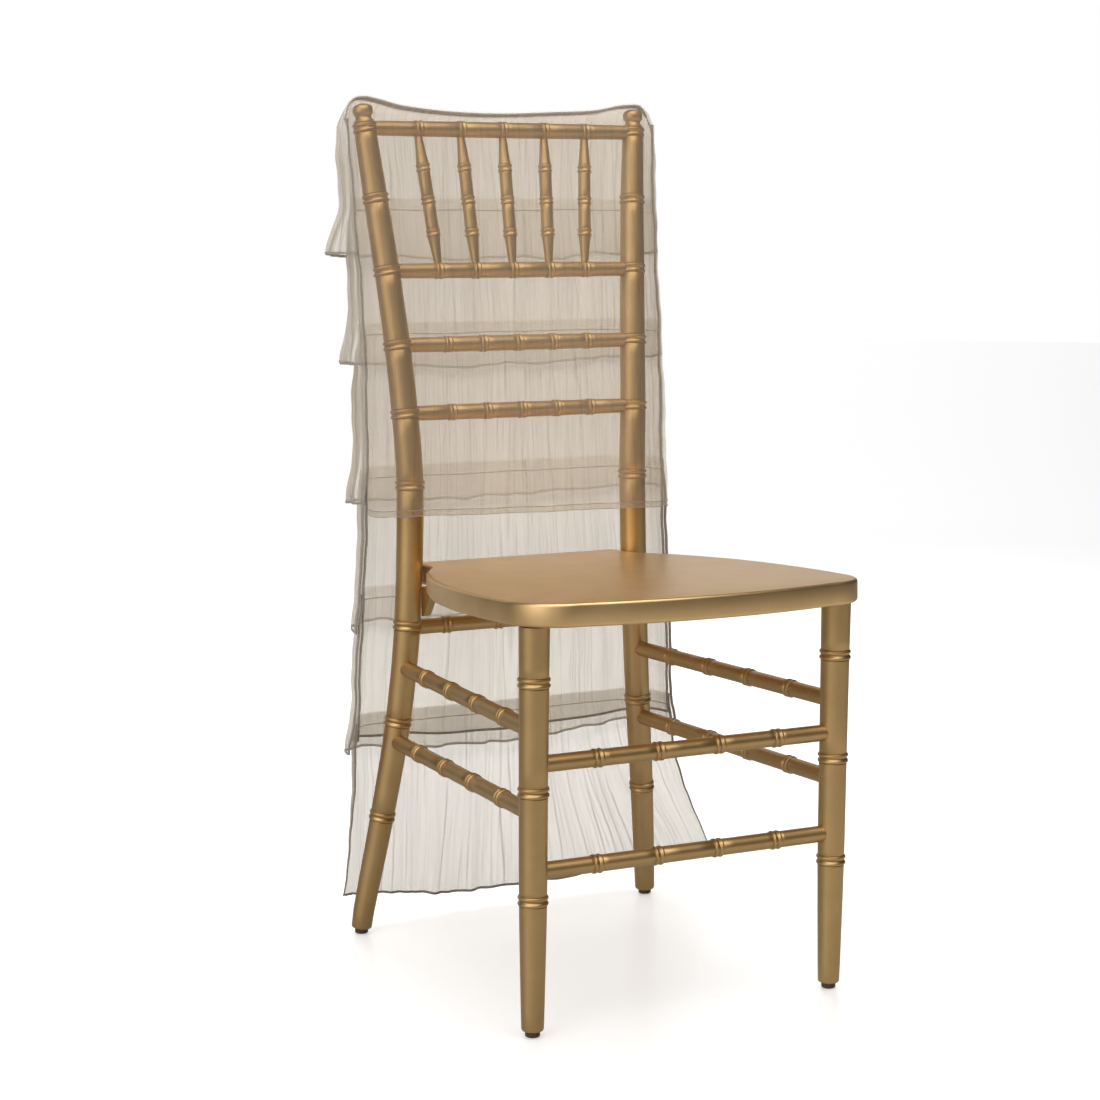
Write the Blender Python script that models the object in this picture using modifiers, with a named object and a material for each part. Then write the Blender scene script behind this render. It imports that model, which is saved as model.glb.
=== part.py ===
"""Tiered sheer cover worn on the back of a turned ballroom chair.

Metres, +Z up. The chair faces -Y, and its feet stand on Z = 0.
The chair is laid out about its own middle plane X = 0. At the end everything is
carried by one empty, so that the origin lies under the middle of the whole box.
"""
import math

import bmesh
import bpy
from mathutils import Vector

# Driving sizes
OVERALL_HEIGHT = 0.920
GAP = 0.0003
CLOTH_THICKNESS = 0.0012
CLOTH_CLEARANCE = 0.0020
POST_SIDES = 14
BAR_SIDES = 8

# Chair back posts, bent in two planes: height, distance from the middle plane, depth, radius
POST_LINE = (
    (0.0063, 0.1826, 0.2040, 0.0114),
    (0.0200, 0.1815, 0.2026, 0.0118),
    (0.1380, 0.1654, 0.1821, 0.0132),
    (0.2460, 0.1515, 0.1682, 0.0140),
    (0.3540, 0.1428, 0.1607, 0.0145),
    (0.5084, 0.1386, 0.1600, 0.0148),
    (0.5860, 0.1418, 0.1648, 0.0145),
    (0.6600, 0.1461, 0.1741, 0.0142),
    (0.7400, 0.1522, 0.1865, 0.0138),
    (0.8180, 0.1590, 0.1998, 0.0132),
    (0.8940, 0.1661, 0.2114, 0.0119),
    (0.9200, 0.1676, 0.2151, 0.0105),
)
POST_RINGS = (0.138, 0.246, 0.354, 0.5084, 0.586, 0.660, 0.740, 0.818, 0.894)
# Turned cap of the post above its last ring: height, radius
FINIAL = (
    (0.9050, 0.0104),
    (0.9125, 0.0119),
    (0.9165, 0.0106),
    (0.9190, 0.0070),
    (OVERALL_HEIGHT, 0.0030),
)

# Front legs, straight: height, distance from the middle plane, depth, radius
LEG_LINE = (
    (0.0063, 0.1732, -0.2044, 0.0112),
    (0.0300, 0.1732, -0.2046, 0.0118),
    (0.1380, 0.1731, -0.2055, 0.0138),
    (0.2460, 0.1731, -0.2065, 0.0143),
    (0.3540, 0.1730, -0.2078, 0.0148),
    (0.4092, 0.1730, -0.2085, 0.0152),
)
LEG_RINGS = (0.138, 0.246, 0.354)

RING_RISE = 0.0016
RING_HALF_HEIGHT = 0.0045

# Seat: a flat board that drops a little toward the back
SEAT_MID_TOP = 0.4265
SEAT_FALL = -0.035
SEAT_THICKNESS = 0.0235
SEAT_EDGE_ROUND = 0.0022
SEAT_FRONT = -0.271
SEAT_FRONT_BOW = 0.95
SEAT_REAR = 0.178
SEAT_CORNER_REACH = 0.055
SEAT_CORNER_STEPS = 6
# Side of the seat board: depth, half width
SEAT_SIDE = (
    (-0.1900, 0.1975),
    (-0.1550, 0.1985),
    (-0.1220, 0.1980),
    (-0.0800, 0.1955),
    (-0.0400, 0.1905),
    (0.0040, 0.1825),
    (0.0430, 0.1700),
    (0.0800, 0.1560),
)
# Cut-away rear corner in front of the back post: depth, half width
SEAT_NOTCH = (
    (0.1060, 0.1410),
    (0.1220, 0.1300),
)
SEAT_POST_CUT = 0.1380

# Side view of the bracket under the seat at each back post: forward of its rear edge, above its top
BRACKET_OUTLINE = (
    (0.0000, 0.0000),
    (-0.0245, 0.0009),
    (-0.0245, -0.0090),
    (-0.0065, -0.0315),
    (0.0000, -0.0330),
)
BRACKET_THICKNESS = 0.0090
BRACKET_X = 0.1265
BRACKET_REAR = 0.1495

# Rails of the back: name, height, spacing of their five rings
BACK_RAILS = (
    ("crest_rail", 0.894, 0.0515),
    ("back_rail_1", 0.740, 0.0455),
    ("back_rail_2", 0.660, 0.0432),
    ("back_rail_3", 0.586, 0.0430),
)
RAIL_END_RADIUS = 0.0080
RAIL_MID_RADIUS = 0.0087
RAIL_RING_RISE = 0.0009
RAIL_RING_HALF = 0.0045

SPINDLE_COUNT = 5
SPINDLE_END_RADIUS = 0.0040
SPINDLE_BODY_RADIUS = 0.0070
SPINDLE_RING_RADIUS = 0.0083
SPINDLE_RING_HEIGHTS = (0.781, 0.8165, 0.852)

STRETCHER_RADIUS = 0.0085
STRETCHER_RING_RADIUS = 0.0101
SIDE_STRETCHER_HEIGHTS = {"upper": 0.306, "lower": 0.2235}
FRONT_STRETCHER_HEIGHTS = {"upper": 0.2725, "lower": 0.1660}
BACK_STRETCHER_HEIGHT = 0.3510
FRONT_RING_SPACING = 0.069
BACK_RING_SPACING = 0.064

GLIDE_RADIUS = 0.0075
GLIDE_HEIGHT = 0.0060

# Cross-sections of the cover, which is straight from one to the next:
# height, left edge x and y, right edge x and y, y of the flat back
SECTIONS = (
    (0.010, -0.1900, 0.2310, 0.2960, 0.2370, 0.2405),
    (0.060, -0.1900, 0.2200, 0.2740, 0.2270, 0.2380),
    (0.120, -0.1900, 0.2040, 0.2360, 0.2060, 0.2340),
    (0.180, -0.1925, 0.1860, 0.2080, 0.1860, 0.2315),
    (0.232, -0.1950, 0.1755, 0.1970, 0.1755, 0.2290),
    (0.300, -0.1935, 0.1730, 0.1945, 0.1730, 0.2260),
    (0.376, -0.1890, 0.1720, 0.1900, 0.1720, 0.2265),
    (0.440, -0.1860, 0.1705, 0.1865, 0.1705, 0.2295),
    (0.510, -0.1838, 0.1695, 0.1838, 0.1695, 0.2315),
    (0.590, -0.1830, 0.1710, 0.1830, 0.1710, 0.2325),
    (0.669, -0.1825, 0.1755, 0.1825, 0.1755, 0.2335),
    (0.740, -0.1835, 0.1850, 0.1835, 0.1850, 0.2345),
    (0.806, -0.1852, 0.1945, 0.1852, 0.1945, 0.2350),
    (0.860, -0.1868, 0.2010, 0.1868, 0.2010, 0.2355),
    (0.930, -0.1890, 0.2065, 0.1890, 0.2065, 0.2350),
)
# Ridge of the cover, sagging between the posts: x, height
RIDGE = (
    (-0.1890, 0.8960),
    (-0.1860, 0.9140),
    (-0.1770, 0.9250),
    (-0.1640, 0.9275),
    (-0.1480, 0.9250),
    (-0.1200, 0.9185),
    (-0.0600, 0.9130),
    (0.0000, 0.9120),
    (0.0700, 0.9150),
    (0.1200, 0.9180),
    (0.1480, 0.9234),
    (0.1640, 0.9250),
    (0.1770, 0.9238),
    (0.1860, 0.9125),
    (0.1890, 0.8960),
)
RIDGE_MIDDLE = 0.9120
SEAM_HALF_GAP = 0.0005
RIDGE_Y = 0.2135
ROLL_DEPTH = 0.018
ROLL_STEPS = (0.0, 0.0015, 0.006, 0.018)
SIDE_TURN = 0.040
STRAIGHT_SHARE = 0.76
FRONT_TURN = 0.022
MIDDLE_COLUMNS = 16
TURN_COLUMNS = 4
FREE_EDGE_BACK = 0.0015

FRONT_HEM_LEFT = 0.4765
FRONT_HEM_RIGHT = 0.4700
BACK_HEM = 0.2110
BACK_HEM_LIFT = 0.0120

# Flounces: height sewn at, hem height in the middle, rise of the hem at its ends, stand-off
# of the hem at the left, in the middle and at the right, number of folds, phase of the folds
FLOUNCES = (
    (None, 0.7500, 0.0080, 0.0270, 0.0150, 0.0050, 8, 0.4),
    (0.8060, 0.6290, 0.0110, 0.0180, 0.0140, 0.0055, 7, 1.9),
    (0.6690, 0.4800, 0.0090, 0.0130, 0.0140, 0.0085, 8, 3.1),
    (0.5100, 0.3440, 0.0050, 0.0080, 0.0130, 0.0070, 7, 4.6),
    (0.3760, 0.1930, 0.0170, 0.0100, 0.0140, 0.0080, 8, 0.9),
    (0.2320, 0.0180, 0.0210, 0.0040, 0.0090, 0.0040, 9, 2.3),
)
SEWN_OFFSET = CLOTH_THICKNESS + 2 * GAP
FOLD_DEPTH = 0.0032

GOLD = {"colour": (0.36, 0.22, 0.085, 1.0), "roughness": 0.38, "metallic": 0.55}
DARK_GLIDE = {"colour": (0.16, 0.10, 0.05, 1.0), "roughness": 0.5, "metallic": 0.1}
SHEER = {"colour": (0.68, 0.60, 0.52, 1.0), "roughness": 0.75, "metallic": 0.0}


def clear_scene():
    for item in list(bpy.data.objects):
        bpy.data.objects.remove(item, do_unlink=True)


def between(a, b, share):
    return a + (b - a) * share


def read_table(table, key, column):
    """A smooth value of one column, looked up by the table's first column."""
    keys = [row[0] for row in table]
    values = [row[column] for row in table]
    if key <= keys[0]:
        return values[0]
    if key >= keys[-1]:
        return values[-1]
    i = max(n for n in range(len(keys) - 1) if keys[n] <= key)
    slopes = []
    for n in (i, i + 1):
        low, high = max(n - 1, 0), min(n + 1, len(keys) - 1)
        slopes.append((values[high] - values[low]) / (keys[high] - keys[low]))
    span = keys[i + 1] - keys[i]
    t = (key - keys[i]) / span
    start = values[i] * (1 + 2 * t) * (1 - t) ** 2 + slopes[0] * span * t * (1 - t) ** 2
    end = values[i + 1] * t * t * (3 - 2 * t) - slopes[1] * span * t * t * (1 - t)
    return start + end


def line_point(table, height, side):
    return Vector((side * read_table(table, height, 1), read_table(table, height, 2), height))


def give_material(item, finish):
    material = bpy.data.materials.new(item.name + "_finish")
    material.use_nodes = True
    shader = material.node_tree.nodes["Principled BSDF"]
    shader.inputs["Base Color"].default_value = finish["colour"]
    shader.inputs["Roughness"].default_value = finish["roughness"]
    shader.inputs["Metallic"].default_value = finish["metallic"]
    material.diffuse_color = finish["colour"]
    item.data.materials.append(material)


def place(name, data, finish):
    item = bpy.data.objects.new(name, data)
    parts.objects.link(item)
    item.parent = carrier
    give_material(item, finish)
    return item


# Turned pieces
def ring_sections(height, body, rise, half):
    return [(height - half, body), (height, body + rise), (height + half, body)]


def bent_post(name, table, rings, extra, side):
    """A turned post along its bent centre line, with a ring at each named height."""
    sections = [(row[0], row[3]) for row in table if row[0] not in rings]
    if extra:
        sections = [pair for pair in sections if pair[0] < extra[0][0]] + list(extra)
    for ring in rings:
        sections += ring_sections(ring, read_table(table, ring, 3), RING_RISE, RING_HALF_HEIGHT)
    sections.sort()
    curve = bpy.data.curves.new(name, "CURVE")
    curve.dimensions = "3D"
    curve.bevel_depth = 1.0
    curve.bevel_resolution = (POST_SIDES - 4) // 2
    curve.use_fill_caps = True
    spline = curve.splines.new("POLY")
    spline.points.add(len(sections) - 1)
    foot = line_point(table, sections[0][0], side)
    for point, (height, radius) in zip(spline.points, sections):
        centre = line_point(table, height, side)
        if height < table[1][0] + GAP:
            centre = Vector((foot.x, foot.y, height))
        point.co = (*centre, 1.0)
        point.radius = radius
    return place(name, curve, GOLD)


def turned_bar(name, start, end, profile, sides, finish=GOLD):
    """A straight turned bar from start to end; the profile rows are share of length, radius."""
    length = (end - start).length
    mesh = bpy.data.meshes.new(name)
    points = [(0.0, 0.0, length)]
    points += [(radius, 0.0, share * length) for share, radius in sorted(profile, reverse=True)]
    points.append((0.0, 0.0, 0.0))
    mesh.from_pydata(points, [(i, i + 1) for i in range(len(points) - 1)], [])
    bar = place(name, mesh, finish)
    bar.location = start
    bar.rotation_mode = "QUATERNION"
    bar.rotation_quaternion = (end - start).to_track_quat("Z", "Y")
    screw = bar.modifiers.new("turn", "SCREW")
    screw.steps = sides
    screw.render_steps = sides
    screw.use_merge_vertices = True
    screw.merge_threshold = 0.00001
    screw.use_smooth_shade = True
    return bar


def bar_profile(length, ends, middle, rings, rise, half):
    """Profile of a slightly barrelled bar with rings at the given distances from its middle."""
    rows = [(0.0, ends), (1.0, ends)]
    for ring in rings:
        centre = 0.5 + ring / length
        body = between(ends, middle, 1 - (2 * centre - 1) ** 2)
        rows += [(centre - half / length, body), (centre, body + rise), (centre + half / length, body)]
    return rows


def spread(count, spacing):
    return [(i - (count - 1) / 2) * spacing for i in range(count)]


def build_posts_and_legs():
    for side, word in ((-1, "left"), (1, "right")):
        bent_post("back_post_" + word, POST_LINE, POST_RINGS, FINIAL, side)
        bent_post("front_leg_" + word, LEG_LINE, LEG_RINGS, (), side)
        for table, place_word in ((POST_LINE, "back"), (LEG_LINE, "front")):
            foot = line_point(table, table[0][0], side)
            top = Vector((foot.x, foot.y, GLIDE_HEIGHT))
            bottom = Vector((foot.x, foot.y, 0.0))
            rounded = ((0.0, GLIDE_RADIUS * 0.85), (0.25, GLIDE_RADIUS), (1.0, GLIDE_RADIUS))
            turned_bar(f"glide_{place_word}_{word}", bottom, top, rounded, BAR_SIDES, DARK_GLIDE)


def build_back_rails():
    for name, height, spacing in BACK_RAILS:
        post = line_point(POST_LINE, height, 1)
        reach = post.x - read_table(POST_LINE, height, 3) - RING_RISE - GAP
        start = Vector((-reach, post.y, height))
        end = Vector((reach, post.y, height))
        rings = spread(SPINDLE_COUNT, spacing)
        profile = bar_profile(2 * reach, RAIL_END_RADIUS, RAIL_MID_RADIUS, rings, RAIL_RING_RISE, RAIL_RING_HALF)
        turned_bar(name, start, end, profile, BAR_SIDES)


def build_spindles():
    top_height, bottom_height = BACK_RAILS[0][1], BACK_RAILS[1][1]
    tops = spread(SPINDLE_COUNT, BACK_RAILS[0][2])
    bottoms = spread(SPINDLE_COUNT, BACK_RAILS[1][2])
    stand = RAIL_MID_RADIUS + RAIL_RING_RISE + GAP
    for i in range(SPINDLE_COUNT):
        start = Vector((bottoms[i], line_point(POST_LINE, bottom_height, 1).y, bottom_height + stand))
        end = Vector((tops[i], line_point(POST_LINE, top_height, 1).y, top_height - stand))
        profile = [(0.0, SPINDLE_END_RADIUS), (1.0, SPINDLE_END_RADIUS)]
        for ring in SPINDLE_RING_HEIGHTS:
            share = (ring - start.z) / (end.z - start.z)
            half = RING_HALF_HEIGHT / (end.z - start.z)
            profile += [(share - half, SPINDLE_BODY_RADIUS), (share, SPINDLE_RING_RADIUS)]
            profile.append((share + half, SPINDLE_BODY_RADIUS))
        turned_bar(f"spindle_{i + 1}", start, end, profile, BAR_SIDES)


def stretcher_seat(table, height, side, rise=0.0):
    """Where a stretcher meets a post: the post's centre, and how far from it the stretcher stops."""
    lean = (line_point(table, height + 0.01, side).y - line_point(table, height - 0.01, side).y) / 0.02
    reach = read_table(table, height, 3) + rise + GAP + abs(lean) * STRETCHER_RADIUS
    return line_point(table, height, side), reach


def stretcher(name, first, second, spacing):
    (first_centre, first_reach), (second_centre, second_reach) = first, second
    along = (second_centre - first_centre).normalized()
    start = first_centre + along * first_reach
    end = second_centre - along * second_reach
    rise = STRETCHER_RING_RADIUS - STRETCHER_RADIUS
    rings = spread(4, spacing)
    length = (end - start).length
    profile = bar_profile(length, STRETCHER_RADIUS, STRETCHER_RADIUS, rings, rise, RING_HALF_HEIGHT)
    turned_bar(name, start, end, profile, BAR_SIDES)


def build_stretchers():
    for side, side_word in ((-1, "left"), (1, "right")):
        for word, height in SIDE_STRETCHER_HEIGHTS.items():
            front = stretcher_seat(LEG_LINE, height, side)
            back = stretcher_seat(POST_LINE, height, side)
            spacing = (back[0] - front[0]).length / 5
            stretcher(f"side_stretcher_{side_word}_{word}", front, back, spacing)
    for word, height in FRONT_STRETCHER_HEIGHTS.items():
        ends = [stretcher_seat(LEG_LINE, height, side) for side in (-1, 1)]
        stretcher("front_stretcher_" + word, ends[0], ends[1], FRONT_RING_SPACING)
    ends = [stretcher_seat(POST_LINE, BACK_STRETCHER_HEIGHT, side, RING_RISE) for side in (-1, 1)]
    stretcher("back_stretcher", ends[0], ends[1], BACK_RING_SPACING)


# Seat
def flat_outline(name, points, thickness, finish):
    curve = bpy.data.curves.new(name, "CURVE")
    curve.dimensions = "2D"
    curve.fill_mode = "BOTH"
    curve.extrude = thickness / 2
    spline = curve.splines.new("POLY")
    spline.points.add(len(points) - 1)
    for point, (x, y) in zip(spline.points, points):
        point.co = (x, y, 0.0, 1.0)
    spline.use_cyclic_u = True
    return place(name, curve, finish)


def seat_half_width_at_post():
    post = line_point(POST_LINE, SEAT_MID_TOP, 1)
    return post.x - read_table(POST_LINE, SEAT_MID_TOP, 3) - GAP


def seat_half_outline():
    """Right half of the seat board, from the middle of its front edge round to the rear edge."""
    points = []
    corner_x = SEAT_SIDE[0][1] - SEAT_CORNER_REACH
    corner_y = SEAT_SIDE[0][0]
    corner_depth = corner_y - SEAT_FRONT - SEAT_FRONT_BOW * corner_x ** 2
    for share in (0.0, 0.4, 0.8):
        x = corner_x * share
        points.append((x, SEAT_FRONT + SEAT_FRONT_BOW * x * x))
    for step in range(SEAT_CORNER_STEPS + 1):
        turn = math.pi / 2 * step / SEAT_CORNER_STEPS
        points.append((corner_x + SEAT_CORNER_REACH * math.sin(turn), corner_y - corner_depth * math.cos(turn)))
    points += [(half, depth) for depth, half in SEAT_SIDE[1:]]
    points += [(half, depth) for depth, half in SEAT_NOTCH]
    points += [(seat_half_width_at_post(), depth) for depth in (SEAT_POST_CUT, SEAT_REAR)]
    return points


def build_seat():
    right = seat_half_outline()
    left = [(-x, y) for x, y in reversed(right) if x > 0]
    seat = flat_outline("seat", right + left, SEAT_THICKNESS, GOLD)
    seat.location = (0.0, 0.0, SEAT_MID_TOP - SEAT_THICKNESS / 2)
    seat.rotation_euler.x = math.atan(SEAT_FALL)
    weld = seat.modifiers.new("weld caps", "WELD")
    weld.merge_threshold = 0.00005
    soften = seat.modifiers.new("rounded edges", "BEVEL")
    soften.width = SEAT_EDGE_ROUND
    soften.segments = 2
    soften.limit_method = "ANGLE"
    soften.angle_limit = math.radians(50)


def build_brackets():
    under = SEAT_MID_TOP + SEAT_FALL * BRACKET_REAR - SEAT_THICKNESS - 2 * GAP
    for side, word in ((-1, "left"), (1, "right")):
        bracket = flat_outline("seat_bracket_" + word, BRACKET_OUTLINE, BRACKET_THICKNESS, GOLD)
        bracket.location = (side * BRACKET_X, BRACKET_REAR, under)
        bracket.rotation_euler = (math.pi / 2, 0.0, math.pi / 2)


# Cover
def section(height, column):
    """One column of the cross-sections, straight between its rows."""
    rows = [row for row in SECTIONS if row[0] >= height]
    above = rows[0] if rows else SECTIONS[-1]
    below = SECTIONS[max(SECTIONS.index(above) - 1, 0)]
    share = (height - below[0]) / (above[0] - below[0]) if above != below else 0.0
    return between(below[column], above[column], share)


def across():
    """Places across a sheet, from -1 at its left edge to 1 at its right, closer where it turns."""
    turn = [1 - (1 - STRAIGHT_SHARE) * step / TURN_COLUMNS for step in range(TURN_COLUMNS)]
    middle = [STRAIGHT_SHARE * (2 * step / MIDDLE_COLUMNS - 1) for step in range(MIDDLE_COLUMNS + 1)]
    return [-u for u in turn] + middle + turn[::-1]


def flat_back_point(u, height):
    """A point on the back of the cover below its ridge, and the way it faces."""
    side = 1 if u > 0 else -1
    column = 3 if u > 0 else 1
    edge_y = section(height, column + 1)
    inner_x = section(height, column) - side * SIDE_TURN
    angle = max(abs(u) - STRAIGHT_SHARE, 0.0) / (1 - STRAIGHT_SHARE) * math.pi / 2
    x = inner_x * min(abs(u) / STRAIGHT_SHARE, 1.0) + side * SIDE_TURN * math.sin(angle)
    y = edge_y + (section(height, 5) - edge_y) * math.cos(angle)
    return Vector((x, y, height)), Vector((side * math.sin(angle), math.cos(angle), 0.0))


def ridge_height(u):
    return read_table(RIDGE, flat_back_point(u, RIDGE_MIDDLE)[0].x, 1)


def roll(depth):
    """How far the cloth has turned down from its ridge: 0 on the ridge, 1 where it hangs."""
    share = min(max(depth / ROLL_DEPTH, 0.0), 1.0)
    return math.sqrt(1 - (1 - share) ** 2)


def back_point(u, height, offset):
    """A point on the back of the cover, turned over the ridge near the top."""
    flat, outward = flat_back_point(u, height)
    turned = roll(ridge_height(u) - height)
    if abs(u) < 1:
        flat.y = between(RIDGE_Y, flat.y, turned)
    over = Vector((outward.x, 0.0, math.sqrt(1 - outward.x ** 2)))
    facing = (outward * turned + over * math.sqrt(1 - turned ** 2)).normalized()
    return flat + Vector((0.0, SEAM_HALF_GAP, 0.0)) + facing * offset


def front_point(u, height):
    """A point on the front panel: before the posts, round their sides, and up to the ridge."""
    side = 1 if u > 0 else -1
    edge_x = abs(section(height, 3 if u > 0 else 1))
    edge_y = section(height, 4 if u > 0 else 2)
    post_front = read_table(POST_LINE, height, 2) - read_table(POST_LINE, height, 3) - RING_RISE
    front_y = post_front - CLOTH_CLEARANCE - CLOTH_THICKNESS / 2
    angle = max(abs(u) - STRAIGHT_SHARE, 0.0) / (1 - STRAIGHT_SHARE) * math.pi / 2
    x = (edge_x - FRONT_TURN) * min(abs(u) / STRAIGHT_SHARE, 1.0) + FRONT_TURN * math.sin(angle)
    y = edge_y + (front_y - edge_y) * math.cos(angle)
    turned = roll(ridge_height(u) - height)
    if abs(u) < 1:
        y = between(RIDGE_Y, y, turned)
        x = between(abs(flat_back_point(u, height)[0].x), x, turned)
    return Vector((side * x, y - SEAM_HALF_GAP, height))


def sheet(name, columns, heights, shape):
    """A grid of cloth: heights(u) lists its rows, and shape(u, height, share) places each corner."""
    mesh = bpy.data.meshes.new(name)
    grid = bmesh.new()
    rows = len(heights(0.0))
    bmesh.ops.create_grid(grid, x_segments=len(columns) - 1, y_segments=rows - 1, size=1.0)
    for vertex in grid.verts:
        u = columns[round((vertex.co.x + 1) / 2 * (len(columns) - 1))]
        levels = heights(u)
        height = levels[round((1 - vertex.co.y) / 2 * (rows - 1))]
        share = (levels[0] - height) / (levels[0] - levels[-1])
        vertex.co = shape(u, height, share)
    grid.to_mesh(mesh)
    grid.free()
    cloth = place(name, mesh, SHEER)
    solid = cloth.modifiers.new("thickness", "SOLIDIFY")
    solid.thickness = CLOTH_THICKNESS
    solid.offset = 0.0
    mesh.shade_smooth()
    return cloth


def hanging_rows(top, hem):
    """Rows of a sheet from its top to its hem, with one at each cross-section between them."""
    starts = [top(u) for u in across()]
    ends = [hem(u) for u in across()]
    low, high = max(ends), min(starts)
    if high != max(starts):
        high -= ROLL_DEPTH
    levels = [row[0] for row in reversed(SECTIONS) if low < row[0] < high]
    steps = ROLL_STEPS if high != min(starts) else ROLL_STEPS[:1]
    return lambda u: [top(u) - step for step in steps] + levels + [hem(u)]


def flounce_shape(hems, folds, phase):
    left, middle, right = hems

    def shape(u, height, share):
        stand = between(middle, left if u < 0 else right, u * u)
        waves = math.sin(folds * math.pi * u + phase) + 0.5 * math.sin(folds * 1.7 * math.pi * u + 2 * phase)
        fold = FOLD_DEPTH * waves * (1 - u ** 4) * share
        point = back_point(u, height, between(SEWN_OFFSET, stand, share) + fold)
        point.y += FREE_EDGE_BACK * (abs(u) == 1)
        return point

    return shape


def build_cover():
    columns = across()
    front_hem = lambda u: between(FRONT_HEM_LEFT, FRONT_HEM_RIGHT, (u + 1) / 2)
    back_hem = lambda u: BACK_HEM + BACK_HEM_LIFT * u * u
    front_rows = hanging_rows(ridge_height, front_hem)
    back_rows = hanging_rows(ridge_height, back_hem)
    sheet("front_panel", columns, front_rows, lambda u, height, share: front_point(u, height))
    sheet("back_panel", columns, back_rows, lambda u, height, share: back_point(u, height, 0.0))
    for number, (sewn, hem, rise, left, middle, right, folds, phase) in enumerate(FLOUNCES, 1):
        top = ridge_height if sewn is None else (lambda u, level=sewn: level)
        rows = hanging_rows(top, lambda u, low=hem, lift=rise: low + lift * u * u)
        sheet(f"flounce_{number}", columns, rows, flounce_shape((left, middle, right), folds, phase))


def centre_over_origin():
    """Moves the empty that carries everything, so that the box stands centred on the origin."""
    bpy.context.view_layer.update()
    graph = bpy.context.evaluated_depsgraph_get()
    corners = []
    for item in parts.objects:
        if item.type != "EMPTY":
            shown = item.evaluated_get(graph)
            mesh = shown.to_mesh()
            corners += [item.matrix_world @ vertex.co for vertex in mesh.vertices]
            shown.to_mesh_clear()
    for axis in (0, 1):
        low = min(corner[axis] for corner in corners)
        high = max(corner[axis] for corner in corners)
        carrier.location[axis] = -(low + high) / 2


clear_scene()
parts = bpy.data.collections.new("tiered_chair_back_cover")
bpy.context.scene.collection.children.link(parts)
carrier = bpy.data.objects.new("carrier", None)
parts.objects.link(carrier)

build_posts_and_legs()
build_back_rails()
build_spindles()
build_stretchers()
build_seat()
build_brackets()
build_cover()
centre_over_origin()
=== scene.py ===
# %% [markdown]
# # A sheer tiered cover on a turned ballroom chair
#
# The solids of the chair and its cover come in as a fixed frame. This lesson dresses that
# frame: fine turned wood in gold paint, and eight sheets of thin crinkled cloth that hang
# where their solids hang. Every size below is in metres.

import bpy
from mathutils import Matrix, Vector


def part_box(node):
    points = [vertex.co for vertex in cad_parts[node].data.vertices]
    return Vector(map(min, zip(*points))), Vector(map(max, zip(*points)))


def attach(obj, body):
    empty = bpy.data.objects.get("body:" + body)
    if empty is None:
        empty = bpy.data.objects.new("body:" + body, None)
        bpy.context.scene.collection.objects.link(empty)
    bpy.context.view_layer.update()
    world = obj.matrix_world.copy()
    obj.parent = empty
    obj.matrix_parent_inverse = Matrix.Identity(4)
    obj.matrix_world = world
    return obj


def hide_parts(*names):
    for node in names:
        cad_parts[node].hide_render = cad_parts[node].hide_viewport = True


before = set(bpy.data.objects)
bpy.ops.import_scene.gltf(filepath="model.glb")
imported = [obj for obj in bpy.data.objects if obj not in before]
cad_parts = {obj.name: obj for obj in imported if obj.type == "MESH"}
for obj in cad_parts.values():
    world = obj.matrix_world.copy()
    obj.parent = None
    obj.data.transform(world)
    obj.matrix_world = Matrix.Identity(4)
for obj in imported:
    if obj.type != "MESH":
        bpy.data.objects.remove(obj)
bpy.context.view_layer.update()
print("nodes in the frame:", len(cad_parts))

# %% [markdown]
# ## Where the chair's middle plane is
#
# The frame's origin is under the middle of the whole box. The cover spreads further to one
# side than to the other, so the chair's own middle plane is a little off that origin. The
# four foot glides tell where it is: halfway between the left and the right one.

# %% Find the chair's middle
import math

import bpy
import numpy as np
from mathutils import Vector, noise


def centre_of(node):
    low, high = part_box(node)
    return (Vector(low) + Vector(high)) / 2


BACK_FOOT_Y = 0.2040
left_foot, right_foot = centre_of("glide_back_left"), centre_of("glide_back_right")
middle = Vector(((left_foot.x + right_foot.x) / 2, left_foot.y - BACK_FOOT_Y, 0.0))
print("the chair's middle plane is at", [round(value, 5) for value in middle])

# %% [markdown]
# ## Small helpers for working by hand
#
# An operator acts on all that is selected, so each piece starts with nothing selected. A
# finished piece gets its name, its place in the mesh, smooth shading, the body that it rides
# on and the material slot that it takes, and the solids that it stands for are hidden.

# %% Helpers
PIECES = []


def deselect():
    if bpy.context.object and bpy.context.object.mode != "OBJECT":
        bpy.ops.object.mode_set(mode="OBJECT")
    bpy.ops.object.select_all(action="DESELECT")


def select_only(piece):
    deselect()
    piece.select_set(True)
    bpy.context.view_layer.objects.active = piece


def apply_place(piece):
    select_only(piece)
    bpy.ops.object.transform_apply(location=True, rotation=True, scale=True)


def apply_modifiers(piece):
    select_only(piece)
    for modifier in list(piece.modifiers):
        bpy.ops.object.modifier_apply(modifier=modifier.name)


def add_path(data, points, closed=False):
    """Puts a straight-sided line through the points into a curve, and makes its object."""
    spline = data.splines.new("POLY")
    spline.points.add(len(points) - 1)
    for point, place in zip(spline.points, points):
        point.co = (*place, 1.0)
    spline.use_cyclic_u = closed
    piece = bpy.data.objects.new(data.name, data)
    bpy.context.scene.collection.objects.link(piece)
    return piece


def make_mesh(piece, merge):
    """Turns a curve's object into a mesh, with its seams closed and its faces pointing out."""
    select_only(piece)
    bpy.ops.object.convert(target="MESH")
    bpy.ops.object.mode_set(mode="EDIT")
    bpy.ops.mesh.select_all(action="SELECT")
    bpy.ops.mesh.remove_doubles(threshold=merge)
    bpy.ops.mesh.normals_make_consistent(inside=False)
    bpy.ops.object.mode_set(mode="OBJECT")
    return piece


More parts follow.
